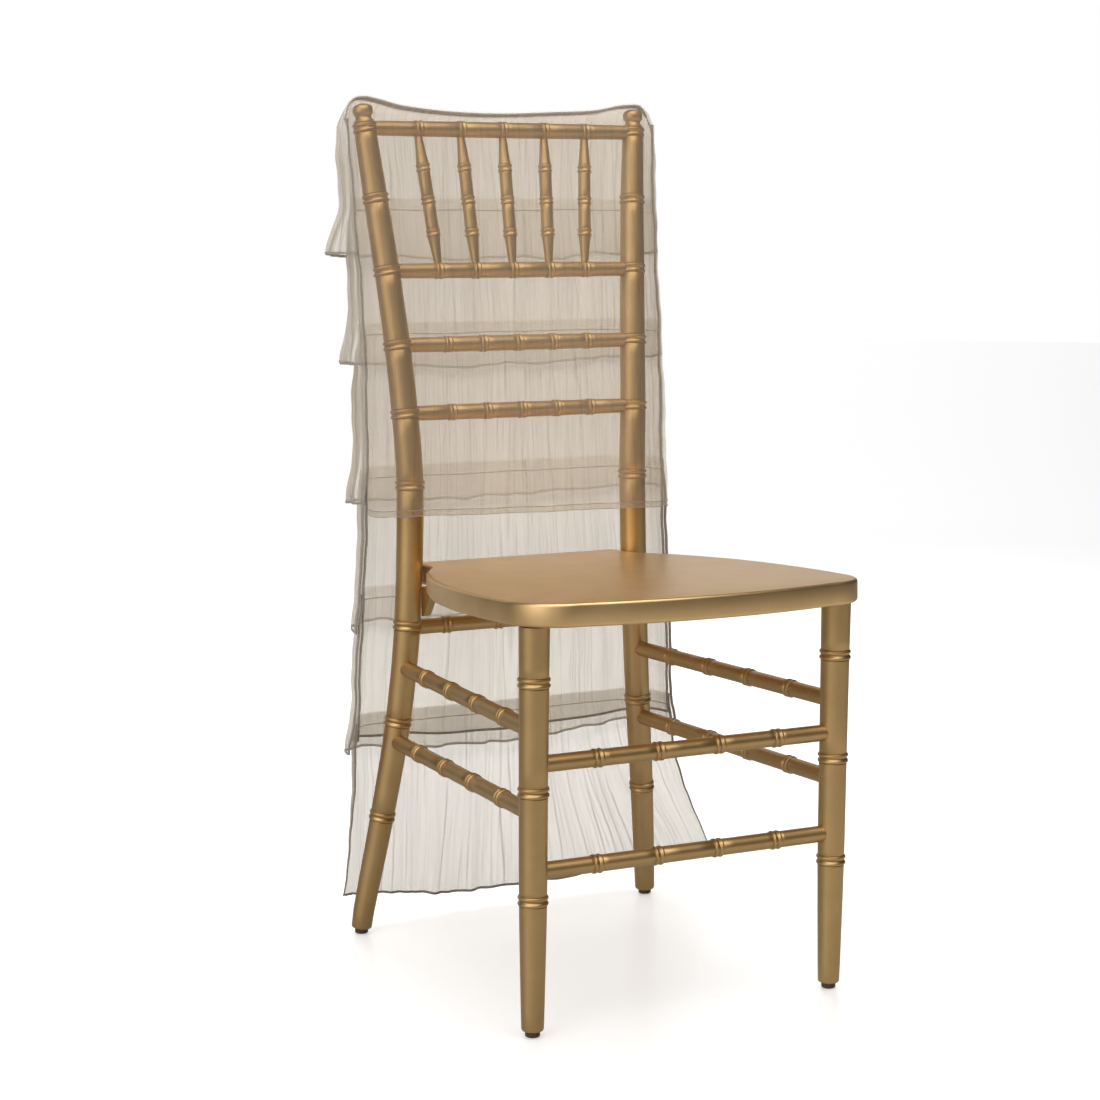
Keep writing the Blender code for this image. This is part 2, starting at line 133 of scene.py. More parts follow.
def finish(piece, name, material, nodes=(), angle=35):
    piece.name = name
    apply_place(piece)
    piece.data.materials.clear()
    piece.data.materials.append(material)
    bpy.ops.object.shade_smooth_by_angle(angle=math.radians(angle))
    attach(piece, "root")
    if nodes:
        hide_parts(*nodes)
    PIECES.append(piece)
    return piece


def copy_piece(piece):
    twin = piece.copy()
    twin.data = piece.data.copy()
    bpy.context.scene.collection.objects.link(twin)
    return twin


def between(a, b, share):
    return a + (b - a) * share


def smooth_value(table, key, column):
    """A smooth value of one column, looked up by the first column of a short table."""
    keys = [row[0] for row in table]
    values = [row[column] for row in table]
    if key <= keys[0]:
        return values[0]
    if key >= keys[-1]:
        return values[-1]
    i = max(n for n in range(len(keys) - 1) if keys[n] <= key)
    slopes = []
    for n in (i, i + 1):
        low, high = max(n - 1, 0), min(n + 1, len(keys) - 1)
        slopes.append((values[high] - values[low]) / (keys[high] - keys[low]))
    span = keys[i + 1] - keys[i]
    t = (key - keys[i]) / span
    start = values[i] * (1 + 2 * t) * (1 - t) ** 2 + slopes[0] * span * t * (1 - t) ** 2
    return start + values[i + 1] * t * t * (3 - 2 * t) - slopes[1] * span * t * t * (1 - t)


# %% [markdown]
# ## The gold paint
#
# The chair is beech sprayed with a bronze-gold paint. Its flakes make a soft, broad gloss
# and a fine grain. The grooves of the beads get painted shade: their colour is darkened there,
# while crests and plain parts keep it. A Principled shader with a part metal, part paint look
# does this: two scales of noise vary its colour and roughness, and Pointiness finds crests and grooves.

# %% Gold paint
def node_of(tree, kind, place, **values):
    """A new node. A value is a setting, an input's own value, or the output that feeds it."""
    node = tree.nodes.new(kind)
    node.location = place
    for key, value in values.items():
        if isinstance(value, bpy.types.NodeSocket):
            tree.links.new(value, node.inputs[key.replace("_", " ")])
        elif hasattr(node, key):
            setattr(node, key, value)
        else:
            node.inputs[key.replace("_", " ")].default_value = value
    return node


def new_material(name):
    material = bpy.data.materials.new(name)
    material.use_nodes = True
    tree = material.node_tree
    tree.nodes.clear()
    output = tree.nodes.new("ShaderNodeOutputMaterial")
    output.location = (900, 0)
    return material, tree, output


def noise_of(tree, place, vector, scale, detail, roughness=0.5):
    noisy = node_of(tree, "ShaderNodeTexNoise", place, Vector=vector, Scale=scale, Detail=detail,
                    Roughness=roughness)
    return noisy.outputs["Fac"]


def ramp_of(tree, place, factor, low, high):
    """From one colour to another; low and high are each a position and a colour."""
    ramp = node_of(tree, "ShaderNodeValToRGB", place, Fac=factor)
    for element, (position, colour) in zip(ramp.color_ramp.elements, (low, high)):
        element.position = position
        element.color = (*colour, 1.0)
    return ramp.outputs["Color"]


def gold_paint(name, deep, pale, smoothest, roughest):
    material, tree, output = new_material(name)
    place = node_of(tree, "ShaderNodeTexCoord", (-1200, 0)).outputs["Object"]
    cloudy = noise_of(tree, (-950, 250), place, 28.0, 4.0, 0.55)
    grain = noise_of(tree, (-950, -50), place, 900.0, 3.0, 0.6)
    edges = node_of(tree, "ShaderNodeNewGeometry", (-950, 500)).outputs["Pointiness"]
    tint = ramp_of(tree, (-700, 250), cloudy, (0.3, deep), (0.7, pale))
    # Painted shade: the colour is darkened where Pointiness is low, in the grooves of the beads
    crest = ramp_of(tree, (-700, 500), edges, (0.40, (0.38, 0.34, 0.29)), (0.49, (1, 1, 1)))
    painted_groove_shade = node_of(tree, "ShaderNodeMix", (-400, 350), data_type="RGBA", blend_type="MULTIPLY",
                   Factor=1.0)
    tree.links.new(tint, painted_groove_shade.inputs[6])
    tree.links.new(crest, painted_groove_shade.inputs[7])
    flecks = node_of(tree, "ShaderNodeMapRange", (-700, -50), Value=grain, To_Min=smoothest,
                     To_Max=roughest)
    bump = node_of(tree, "ShaderNodeBump", (-400, -250), Height=grain, Strength=0.12,
                   Distance=0.0004)
    shader = node_of(tree, "ShaderNodeBsdfPrincipled", (300, 100), Metallic=0.90,
                     Base_Color=painted_groove_shade.outputs[2], Roughness=flecks.outputs["Result"],
                     Normal=bump.outputs["Normal"])
    tree.links.new(shader.outputs["BSDF"], output.inputs["Surface"])
    return material


# The flat seat is rubbed smoother and shinier than turned wood, and its paler colour is painted light on the
# same gold paint
GOLD = gold_paint("bronze_gold_paint", (0.52, 0.335, 0.14), (0.575, 0.375, 0.165), 0.36, 0.46)
LIT_BOARD_GOLD = gold_paint("rubbed_and_painted_light_gold", (0.72, 0.47, 0.215), (0.78, 0.52, 0.25), 0.32, 0.42)
print("made", GOLD.name, "for turned wood and", LIT_BOARD_GOLD.name, "for the seat")

# %% [markdown]
# ## Turning a piece of wood
#
# A lathe cuts one radius after another along a stick. The same is done here by hand: a filled
# circle is added at the foot of the piece, its face is extruded up by one step, resized to
# the next radius, and so on to the top. The double bead that imitates a bamboo joint is two
# small rounds with a groove between them, given once as shares of the bead's rise.

# %% A lathe made of extrudes
TURNED_SIDES = 28
BEAD_HALF = 0.0050
# Along the stick in shares of the bead's half length, outwards in shares of its rise
BEAD_SHAPE = (
    (-1.16, 0.00), (-1.04, -0.28), (-0.95, 0.20), (-0.84, 0.78), (-0.62, 1.00),
    (-0.38, 0.80), (-0.20, 0.20), (0.00, -0.12), (0.20, 0.20), (0.38, 0.80),
    (0.62, 1.00), (0.84, 0.78), (0.95, 0.20), (1.04, -0.28), (1.16, 0.00),
)
CLEAR_OF_BEAD = 1.3


def with_beads(body, length, beads, rise, half=BEAD_HALF, step=0.02):
    """Sections from 0 to length: the body's radius at even steps, and a double bead at each place."""
    count = max(int(length / step), 2)
    plain = [length * i / count for i in range(count + 1)]
    clear = half * CLEAR_OF_BEAD
    sections = [(z, body(z)) for z in plain if all(abs(z - bead) > clear for bead in beads)]
    for bead in beads:
        sections += [(bead + half * along, body(bead) + rise * out) for along, out in BEAD_SHAPE]
    return sorted(sections)


def turn(sections):
    deselect()
    height, radius = sections[0]
    bpy.ops.mesh.primitive_circle_add(vertices=TURNED_SIDES, radius=radius, fill_type="NGON",
                                      location=(0, 0, height))
    piece = bpy.context.object
    apply_place(piece)
    bpy.ops.object.mode_set(mode="EDIT")
    bpy.ops.mesh.select_all(action="SELECT")
    for next_height, next_radius in sections[1:]:
        rise = (0, 0, next_height - height)
        bpy.ops.mesh.extrude_region_move(TRANSFORM_OT_translate={"value": rise})
        grow = next_radius / radius
        bpy.ops.transform.resize(value=(grow, grow, 1), center_override=(0, 0, next_height))
        height, radius = next_height, next_radius
    bpy.ops.mesh.select_all(action="SELECT")
    bpy.ops.mesh.normals_make_consistent(inside=False)
    bpy.ops.object.mode_set(mode="OBJECT")
    return piece


# %% [markdown]
# ## Back posts and front legs
#
# A back post of this chair is turned straight and then steamed and bent: it splays out and
# back at the foot, is upright at the seat, and leans back above it. So it is modelled in the
# same order. The post is turned along Z with its beads at their distances along the stick,
# and a Curve modifier bends it onto the centre line that the frame's post has. The right
# post is the left one's mirror image.

# %% Posts and legs
# Height, half the distance between left and right, depth, radius
POST_LINE = (
    (0.0063, 0.1826, 0.2040, 0.0114),
    (0.0200, 0.1815, 0.2026, 0.0118),
    (0.1380, 0.1654, 0.1821, 0.0132),
    (0.2460, 0.1515, 0.1682, 0.0140),
    (0.3540, 0.1428, 0.1607, 0.0145),
    (0.5084, 0.1386, 0.1600, 0.0148),
    (0.5860, 0.1418, 0.1648, 0.0145),
    (0.6600, 0.1461, 0.1741, 0.0142),
    (0.7400, 0.1522, 0.1865, 0.0138),
    (0.8180, 0.1590, 0.1998, 0.0132),
    (0.8940, 0.1661, 0.2114, 0.0119),
    (0.9200, 0.1676, 0.2151, 0.0105),
)
POST_BEADS = (0.138, 0.246, 0.354, 0.5084, 0.586, 0.660, 0.740, 0.818, 0.894)
LEG_LINE = (
    (0.0063, 0.1732, -0.2044, 0.0112),
    (0.0300, 0.1732, -0.2046, 0.0118),
    (0.1380, 0.1731, -0.2055, 0.0138),
    (0.2460, 0.1731, -0.2065, 0.0143),
    (0.3540, 0.1730, -0.2078, 0.0148),
    (0.4092, 0.1730, -0.2085, 0.0152),
)
LEG_BEADS = (0.138, 0.246, 0.354)
BEAD_RISE = 0.0015
# Turned cap above the last bead: distance below the top, radius
FINIAL = (
    (0.0200, 0.0112), (0.0182, 0.0104), (0.0164, 0.0089), (0.0148, 0.0087),
    (0.0134, 0.0092), (0.0118, 0.0105), (0.0098, 0.0112), (0.0065, 0.0112),
    (0.0042, 0.0107), (0.0024, 0.0092), (0.0010, 0.0062), (0.0000, 0.0024),
)
# Rounded foot: distance from the end, share of the foot's radius
FOOT_ROUND = ((0.0, 0.86), (0.0006, 0.95), (0.0018, 1.0))
FOOT_CLEAR = 0.004
LINE_STEPS = 90


def centre_line(table):
    """Points along a left post's centre line, with their distances along it."""
    bottom, top = table[0][0], table[-1][0]
    points = []
    for i in range(LINE_STEPS + 1):
        height = between(bottom, top, i / LINE_STEPS)
        x = -smooth_value(table, height, 1) + middle.x
        points.append(Vector((x, smooth_value(table, height, 2) + middle.y, height)))
    lengths = [0.0]
    for a, b in zip(points, points[1:]):
        lengths.append(lengths[-1] + (b - a).length)
    return points, lengths


def bend(piece, points):
    guide_data = bpy.data.curves.new("centre line", "CURVE")
    guide_data.dimensions = "3D"
    guide_data.twist_mode = "MINIMUM"
    guide = add_path(guide_data, points)
    curve = piece.modifiers.new("bend", "CURVE")
    curve.object = guide
    curve.deform_axis = "POS_Z"
    apply_modifiers(piece)
    bpy.data.objects.remove(guide, do_unlink=True)
    return piece


def turned_post(table, beads, cap):
    points, lengths = centre_line(table)
    heights = [point.z for point in points]
    along = lambda height: float(np.interp(height, heights, lengths))
    body = lambda distance: smooth_value(table, float(np.interp(distance, lengths, heights)), 3)
    total = lengths[-1]
    sections = with_beads(body, total, [along(bead) for bead in beads], BEAD_RISE)
    foot_radius = body(0.0)
    foot = [(distance, foot_radius * share) for distance, share in FOOT_ROUND]
    sections = foot + [pair for pair in sections if pair[0] > FOOT_CLEAR]
    if cap:
        sections = [pair for pair in sections if pair[0] < total - cap[0][0]]
        sections += [(total - below, radius) for below, radius in cap]
    return bend(turn(sections), points)


def mirrored(piece):
    """A copy on the other side of the chair's middle plane, with its faces pointing out again."""
    twin = copy_piece(piece)
    select_only(twin)
    bpy.ops.object.mode_set(mode="EDIT")
    bpy.ops.mesh.select_all(action="SELECT")
    bpy.ops.transform.mirror(constraint_axis=(True, False, False), center_override=middle)
    bpy.ops.mesh.normals_make_consistent(inside=False)
    bpy.ops.object.mode_set(mode="OBJECT")
    return twin


UPRIGHTS = (
    ("back_post", POST_LINE, POST_BEADS, FINIAL),
    ("front_leg", LEG_LINE, LEG_BEADS, ()),
)
for kind, table, beads, cap in UPRIGHTS:
    left = turned_post(table, beads, cap)
    for piece, word in ((mirrored(left), "right"), (left, "left")):
        finish(piece, f"turned_{kind}_{word}", GOLD, [f"{kind}_{word}"])
    print(kind, "left and right,", len(left.data.polygons), "faces each")

# %% [markdown]
# ## Rails, spindles and stretchers
#
# The straight members are turned the same way along Z and then laid between the posts: each
# one is rotated onto the line between its two ends, moved there, and its place is applied.
# The rails have five double beads and a slight belly. A spindle tapers from a thick middle
# to thin tenons. A stretcher is even, with four beads.

# %% Straight members
GAP = 0.0003
INTO_POST = 0.8
THIN_BEAD_HALF = 0.0043


def lay_between(piece, start, end):
    piece.rotation_mode = "QUATERNION"
    piece.rotation_quaternion = (end - start).to_track_quat("Z", "Y")
    piece.location = start
    apply_place(piece)
    return piece


def line_point(table, height, side):
    x = side * smooth_value(table, height, 1)
    return Vector((x, smooth_value(table, height, 2), height)) + middle


def spread(count, spacing):
    return [(i - (count - 1) / 2) * spacing for i in range(count)]


# Name, height, distance from bead to bead
BACK_RAILS = (
    ("crest_rail", 0.894, 0.0515),
    ("back_rail_1", 0.740, 0.0455),
    ("back_rail_2", 0.660, 0.0432),
    ("back_rail_3", 0.586, 0.0430),
)
RAIL_END, RAIL_BELLY, RAIL_RISE, RAIL_BEADS = 0.0080, 0.0087, 0.0010, 5
for name, height, spacing in BACK_RAILS:
    reach = smooth_value(POST_LINE, height, 1) - smooth_value(POST_LINE, height, 3) * INTO_POST
    start, end = (Vector((side * reach, smooth_value(POST_LINE, height, 2), height)) + middle
                  for side in (-1, 1))
    belly = lambda z: between(RAIL_BELLY, RAIL_END, (z / reach - 1) ** 2)
    beads = [reach + offset for offset in spread(RAIL_BEADS, spacing)]
    rail = turn(with_beads(belly, 2 * reach, beads, RAIL_RISE, THIN_BEAD_HALF))
    finish(lay_between(rail, start, end), "turned_" + name, GOLD, [name])
print("turned", len(BACK_RAILS), "rails")

# %% Spindles
SPINDLE_END, SPINDLE_BODY, SPINDLE_RISE, SPINDLE_STEP = 0.0040, 0.0070, 0.0011, 0.008
SPINDLE_BEADS = (0.781, 0.8165, 0.852)
SPINDLE_TAPER = 0.9
(_, top_height, top_spacing), (_, low_height, low_spacing) = BACK_RAILS[:2]
into_rail = RAIL_END * 0.8


def spindle_end(x, height, above):
    return Vector((x, smooth_value(POST_LINE, height, 2), height + above)) + middle


def spindle_radius(z, length, places):
    """Thick between the outer beads, and thinner towards each tenon."""
    share = min(1.0, z / places[0], (length - z) / (length - places[-1]))
    return between(SPINDLE_END, SPINDLE_BODY, share ** SPINDLE_TAPER)


spindle_places = zip(spread(5, low_spacing), spread(5, top_spacing))
for number, (low_x, top_x) in enumerate(spindle_places, 1):
    start = spindle_end(low_x, low_height, into_rail)
    end = spindle_end(top_x, top_height, -into_rail)
    length = (end - start).length
    places = [length * (height - start.z) / (end.z - start.z) for height in SPINDLE_BEADS]
    body = lambda z: spindle_radius(z, length, places)
    spindle = turn(with_beads(body, length, places, SPINDLE_RISE, THIN_BEAD_HALF, SPINDLE_STEP))
    lay_between(spindle, start, end)
    finish(spindle, f"turned_spindle_{number}", GOLD, [f"spindle_{number}"])
print("turned", number, "spindles, each", round(length, 3), "m long")

# %% Stretchers
STRETCHER_RADIUS, STRETCHER_RISE, STRETCHER_BEADS = 0.0085, 0.0013, 4
SIDE_HEIGHTS = {"upper": 0.306, "lower": 0.2235}
# Name, the line of what carries it, height, distance from bead to bead
CROSS_BARS = (
    ("front_stretcher_upper", LEG_LINE, 0.2725, 0.069),
    ("front_stretcher_lower", LEG_LINE, 0.1660, 0.069),
    ("back_stretcher", POST_LINE, 0.351, 0.064),
)


def stretcher(start, end, spacing):
    length = (end - start).length
    beads = [length / 2 + offset for offset in spread(STRETCHER_BEADS, spacing)]
    bar = turn(with_beads(lambda z: STRETCHER_RADIUS, length, beads, STRETCHER_RISE))
    return lay_between(bar, start, end)


for word, height in SIDE_HEIGHTS.items():
    ends = line_point(LEG_LINE, height, -1), line_point(POST_LINE, height, -1)
    left = stretcher(*ends, (ends[1] - ends[0]).length / (STRETCHER_BEADS + 1))
    for piece, side_word in ((mirrored(left), "right"), (left, "left")):
        name = f"side_stretcher_{side_word}_{word}"
        finish(piece, "turned_" + name, GOLD, [name])
for name, table, height, spacing in CROSS_BARS:
    bar = stretcher(line_point(table, height, -1), line_point(table, height, 1), spacing)
    finish(bar, "turned_" + name, GOLD, [name])
print("turned", 2 * len(SIDE_HEIGHTS) + len(CROSS_BARS), "stretchers")

# %% [markdown]
# ## Foot glides
#
# Under each foot is a small dark plastic glide with a rounded rim. It is a turned piece too,
# short and low, of four sections.

# %% Glides
def speckled(name, deep, pale, scale, detail, roughness, relief=0.0):
    """A dull material in two tones, which the same fine noise may raise a little."""
    material, tree, output = new_material(name)
    place = node_of(tree, "ShaderNodeTexCoord", (-900, 0)).outputs["Object"]
    specks = noise_of(tree, (-700, 0), place, scale, detail)
    tint = ramp_of(tree, (-450, 100), specks, (0.35, deep), (0.7, pale))
    shader = node_of(tree, "ShaderNodeBsdfPrincipled", (300, 0), Base_Color=tint,
                     Roughness=roughness)
    if relief:
        bump = node_of(tree, "ShaderNodeBump", (-450, -200), Height=specks, Strength=relief,
                       Distance=0.0006)
        tree.links.new(bump.outputs["Normal"], shader.inputs["Normal"])
    tree.links.new(shader.outputs["BSDF"], output.inputs["Surface"])
    return material


DARK = speckled("dark_glide_plastic", (0.10, 0.065, 0.035), (0.17, 0.115, 0.065), 300.0, 3.0, 0.45)
GLIDE_SHAPE = ((0.0, 0.0060), (0.0005, 0.0069), (0.0015, 0.0075), (0.0085, 0.0075))
pattern = turn(GLIDE_SHAPE)
for node in ("glide_back_left", "glide_back_right", "glide_front_left", "glide_front_right"):
    glide = copy_piece(pattern)
    foot = centre_of(node)
    glide.location = (foot.x, foot.y, 0.0)
    finish(glide, "rounded_" + node, DARK, [node])
bpy.data.objects.remove(pattern, do_unlink=True)
print("four glides from one pattern, each of", len(glide.data.polygons), "faces")

# %% [markdown]
# ## The seat board and its brackets
#
# The seat is one board with a bowed front, round front corners and cut-away rear corners that
# let the posts pass. A closed flat curve holds that outline; its extrude gives the board's
# thickness and its bevel the rounded edge that paint makes soft. The curve is made a mesh,
# tilted back by the board's fall, and its place is applied.

# %% Seat
SEAT_MID_TOP, SEAT_FALL, SEAT_THICKNESS = 0.4265, -0.035, 0.0235
SEAT_EDGE_ROUND = 0.0034
SEAT_FRONT, SEAT_FRONT_BOW, SEAT_REAR = -0.271, 0.95, 0.178
SEAT_CORNER_REACH = 0.055
FRONT_STEPS, CORNER_STEPS, SIDE_STEPS = 8, 14, 24
# Depth and half the seat's width there
SEAT_SIDE = (
    (-0.1900, 0.1975), (-0.1550, 0.1985), (-0.1220, 0.1980), (-0.0800, 0.1955),
    (-0.0400, 0.1905), (0.0040, 0.1825), (0.0430, 0.1700), (0.0800, 0.1560),
)
SEAT_NOTCH = ((0.1060, 0.1410), (0.1220, 0.1300))
SEAT_POST_CUT = 0.1380


def seat_outline():
    """The right half, from the middle of the front to the rear, and its mirror image."""
    corner_x, corner_y = SEAT_SIDE[0][1] - SEAT_CORNER_REACH, SEAT_SIDE[0][0]
    corner_depth = corner_y - SEAT_FRONT - SEAT_FRONT_BOW * corner_x ** 2
    front = [corner_x * step / FRONT_STEPS for step in range(FRONT_STEPS)]
    points = [(x, SEAT_FRONT + SEAT_FRONT_BOW * x ** 2) for x in front]
    for step in range(CORNER_STEPS + 1):
        angle = math.pi / 2 * step / CORNER_STEPS
        x = corner_x + SEAT_CORNER_REACH * math.sin(angle)
        points.append((x, corner_y - corner_depth * math.cos(angle)))
    for step in range(1, SIDE_STEPS + 1):
        depth = between(corner_y, SEAT_SIDE[-1][0], step / SIDE_STEPS)
        points.append((smooth_value(SEAT_SIDE, depth, 1), depth))
    points += [(half, depth) for depth, half in SEAT_NOTCH]
    post_half = smooth_value(POST_LINE, SEAT_MID_TOP, 1) - smooth_value(POST_LINE, SEAT_MID_TOP, 3) - GAP
    points += [(post_half, SEAT_POST_CUT), (post_half, SEAT_REAR)]
    return points + [(-x, y) for x, y in reversed(points) if x > 0]


def board(points, thickness, edge):
    data = bpy.data.curves.new("outline", "CURVE")
    data.dimensions = "2D"
    data.fill_mode = "BOTH"
    data.extrude = thickness / 2 - edge
    data.bevel_depth = edge
    data.bevel_resolution = 3
    data.offset = -edge
    flat = [(x, y, 0.0) for x, y in points]
    return make_mesh(add_path(data, flat, closed=True), 0.00005)


seat = board(seat_outline(), SEAT_THICKNESS, SEAT_EDGE_ROUND)
seat.location = Vector((0, 0, SEAT_MID_TOP - SEAT_THICKNESS / 2)) + middle
seat.rotation_euler.x = math.atan(SEAT_FALL)
finish(seat, "seat_board", LIT_BOARD_GOLD, ["seat"], 30)
print("seat board", len(seat.data.polygons), "faces")

# %% [markdown]
# ## The brackets under the seat
#
# A small sawn bracket in each rear corner holds the seat to its post. It is a flat outline
# too, extruded by the same helper and stood up on its edge under the board.

# %% Brackets
BRACKET_OUTLINE = (
    (0.0, 0.0), (-0.0245, 0.0009), (-0.0245, -0.0090), (-0.0065, -0.0315), (0.0, -0.0330),
)
BRACKET_THICKNESS, BRACKET_EDGE = 0.0090, 0.0012
BRACKET_X, BRACKET_REAR = 0.1265, 0.1495
under = SEAT_MID_TOP + SEAT_FALL * BRACKET_REAR - SEAT_THICKNESS - 2 * GAP
for side, word in ((-1, "left"), (1, "right")):
    bracket = board(BRACKET_OUTLINE, BRACKET_THICKNESS, BRACKET_EDGE)
    bracket.location = Vector((side * BRACKET_X, BRACKET_REAR, under)) + middle
    bracket.rotation_euler = (math.pi / 2, 0, math.pi / 2)
    finish(bracket, f"sawn_bracket_{word}", GOLD, [f"seat_bracket_{word}"])
print("two brackets, each of", len(bracket.data.polygons), "faces")

# %% [markdown]
# ## The sheer cloth
#
# The cloth is a thin crinkled voile in a warm pale taupe. Light passes it in three ways: most
# goes straight through between the threads, some is scattered back, and some glows through.
# So the shader mixes Transparent with Diffuse and Translucent. Thin crease lines, in a wide
# and a narrow set, stop more light, because the crinkle bunches the threads there, and their
# colour is darkened with painted shade. They read the sheet's own UV map, so they run down the
# cloth whichever way it hangs.

# %% Cloth material
# The front panel's colour is a darker copy of the same voile: painted shade
CLOTH_COLOUR, FRONT_SHADED_COLOUR = (0.965, 0.948, 0.93), (0.84, 0.815, 0.78)
# The lowest flounce's colour is a darker copy of the same voile: painted shade towards the bottom of the
# cover
LOWEST_SHADED_COLOUR = (0.73, 0.68, 0.61)
# Painted shade: the colour that the crease lines are darkened towards
PAINTED_CREASE_SHADE = (0.66, 0.64, 0.60)
CLEAR_TINT = (1.0, 0.987, 0.964)
GLOW_SHARE = 0.66
# Distance from line to line, a line's width, and where its noise starts
STRONG_CREASES, FAINT_CREASES = (0.0070, 0.0010, 3.0), (0.0033, 0.0009, 11.0)
FAINT_SHARE = 0.60


def maths(tree, place, operation, *values):
    """A Math node: each value is a number or another node's output."""
    node = node_of(tree, "ShaderNodeMath", place, operation=operation)
    for socket, value in zip(node.inputs, values):
        if isinstance(value, (int, float)):
            socket.default_value = value
        else:
            tree.links.new(value, socket)
    return node.outputs[0]


def fade_of(tree, place, value, starts, ends, low, high):
    """A smooth change from low to high while a value goes from starts to ends."""
    fade = node_of(tree, "ShaderNodeMapRange", place, interpolation_type="SMOOTHSTEP",
                   Value=value, From_Min=starts, From_Max=ends, To_Min=low, To_Max=high)
    return fade.outputs["Result"]


def crease_lines(tree, metres, place, pitch, width, seed):
    """Thin lines down the cloth, about one pitch apart, that fade along their run."""
    x, y = place
    stretch = node_of(tree, "ShaderNodeMapping", (x, y), Vector=metres, Location=(seed, seed, 0),
                      Scale=(1 / (6 * pitch), 1.6, 1.0))
    wander = noise_of(tree, (x + 200, y), stretch.outputs["Vector"], 1.0, 1.0, 0.6)
    parts = node_of(tree, "ShaderNodeSeparateXYZ", (x + 200, y - 150), Vector=metres)
    even = maths(tree, (x + 400, y - 150), "MULTIPLY", parts.outputs["X"], 1 / pitch)
    phase = maths(tree, (x + 400, y), "MULTIPLY_ADD", wander, 5.0, even)
    number = maths(tree, (x + 550, y - 150), "FLOOR", phase)
    share = maths(tree, (x + 550, y), "FRACT", phase)
    off_centre = maths(tree, (x + 700, y), "SUBTRACT", share, 0.5)
    distance = maths(tree, (x + 850, y), "ABSOLUTE", off_centre)
    lines = fade_of(tree, (x + 1000, y), distance, 0.0, width / pitch, 1.0, 0.0)
    line_place = maths(tree, (x + 550, y - 300), "MULTIPLY", number, 3.7)
    down = maths(tree, (x + 400, y - 300), "MULTIPLY", parts.outputs["Y"], 9.0)
    own = node_of(tree, "ShaderNodeCombineXYZ", (x + 700, y - 150), X=line_place, Y=down)
    fading = noise_of(tree, (x + 850, y - 150), own.outputs["Vector"], 1.0, 0.0)
    strength = node_of(tree, "ShaderNodeMapRange", (x + 1000, y - 250), Value=fading,
                       From_Min=0.36, From_Max=0.62)
    return maths(tree, (x + 1200, y), "MULTIPLY", lines, strength.outputs["Result"]), wander


def sheer_cloth(name, colour, cover, width, height, lines):
    """Cloth whose cover is the share of light that one face stops; width and height scale its UVs."""
    material, tree, output = new_material(name)
    link = tree.links.new
    uv = node_of(tree, "ShaderNodeUVMap", (-2600, 0)).outputs["UV"]
    mapping = node_of(tree, "ShaderNodeMapping", (-2400, 0), Vector=uv, Scale=(width, height, 1.0))
    metres = mapping.outputs["Vector"]
    strong, cloudy = crease_lines(tree, metres, (-2200, 300), *STRONG_CREASES)
    faint, _ = crease_lines(tree, metres, (-2200, -200), *FAINT_CREASES)
    both = maths(tree, (-850, 150), "MULTIPLY_ADD", faint, FAINT_SHARE, strong)
    dense = node_of(tree, "ShaderNodeMapRange", (-650, 150), Value=both, To_Min=cover,
                    To_Max=min(cover * (1 + lines), 1.0))
    pale, deep = tuple(min(1.03 * c, 1.0) for c in colour), tuple(0.97 * c for c in colour)
    cloud = ramp_of(tree, (-650, 400), cloudy, (0.35, deep), (0.65, pale))
    crease_shade_mask = maths(tree, (-650, 600), "MINIMUM", both, 1.0)
    tint = node_of(tree, "ShaderNodeMix", (-350, 350), data_type="RGBA", blend_type="MULTIPLY",
                   Factor=crease_shade_mask)
    # Painted shade: the cloth's colour is darkened along the crease lines
    tint.inputs[7].default_value = (*PAINTED_CREASE_SHADE, 1.0)
    link(cloud, tint.inputs[6])
    front = node_of(tree, "ShaderNodeBsdfDiffuse", (-100, 200), Color=tint.outputs[2])
    glow = node_of(tree, "ShaderNodeBsdfTranslucent", (-100, 0), Color=tint.outputs[2])
    threads = node_of(tree, "ShaderNodeMixShader", (150, 100), Fac=GLOW_SHARE)
    link(front.outputs["BSDF"], threads.inputs[1])
    link(glow.outputs["BSDF"], threads.inputs[2])
    clear = node_of(tree, "ShaderNodeBsdfTransparent", (150, 300), Color=(*CLEAR_TINT, 1.0))
    cloth = node_of(tree, "ShaderNodeMixShader", (500, 100), Fac=dense.outputs["Result"])
    link(clear.outputs["BSDF"], cloth.inputs[1])
    link(threads.outputs["Shader"], cloth.inputs[2])
    link(cloth.outputs["Shader"], output.inputs["Surface"])
    return material


THREAD_LOOPS = (700.0, 2.0, 0.8, 0.6)
THREAD = speckled("serging_thread", (0.42, 0.375, 0.325), (0.64, 0.58, 0.51), *THREAD_LOOPS)
STITCH_THREAD = speckled("stitch_thread", (0.40, 0.365, 0.315), (0.58, 0.53, 0.46), *THREAD_LOOPS)

# %% [markdown]
# ## The cover's shape
#
# Every sheet of the cover follows one surface: flat across the back, turning forward round
# each side to the seam. It is given by the same cross-sections as the frame's solids, with a
# smooth line from one to the next. A place on a sheet is its share u across, from -1 at the
# left seam to 1 at the right, and its height.

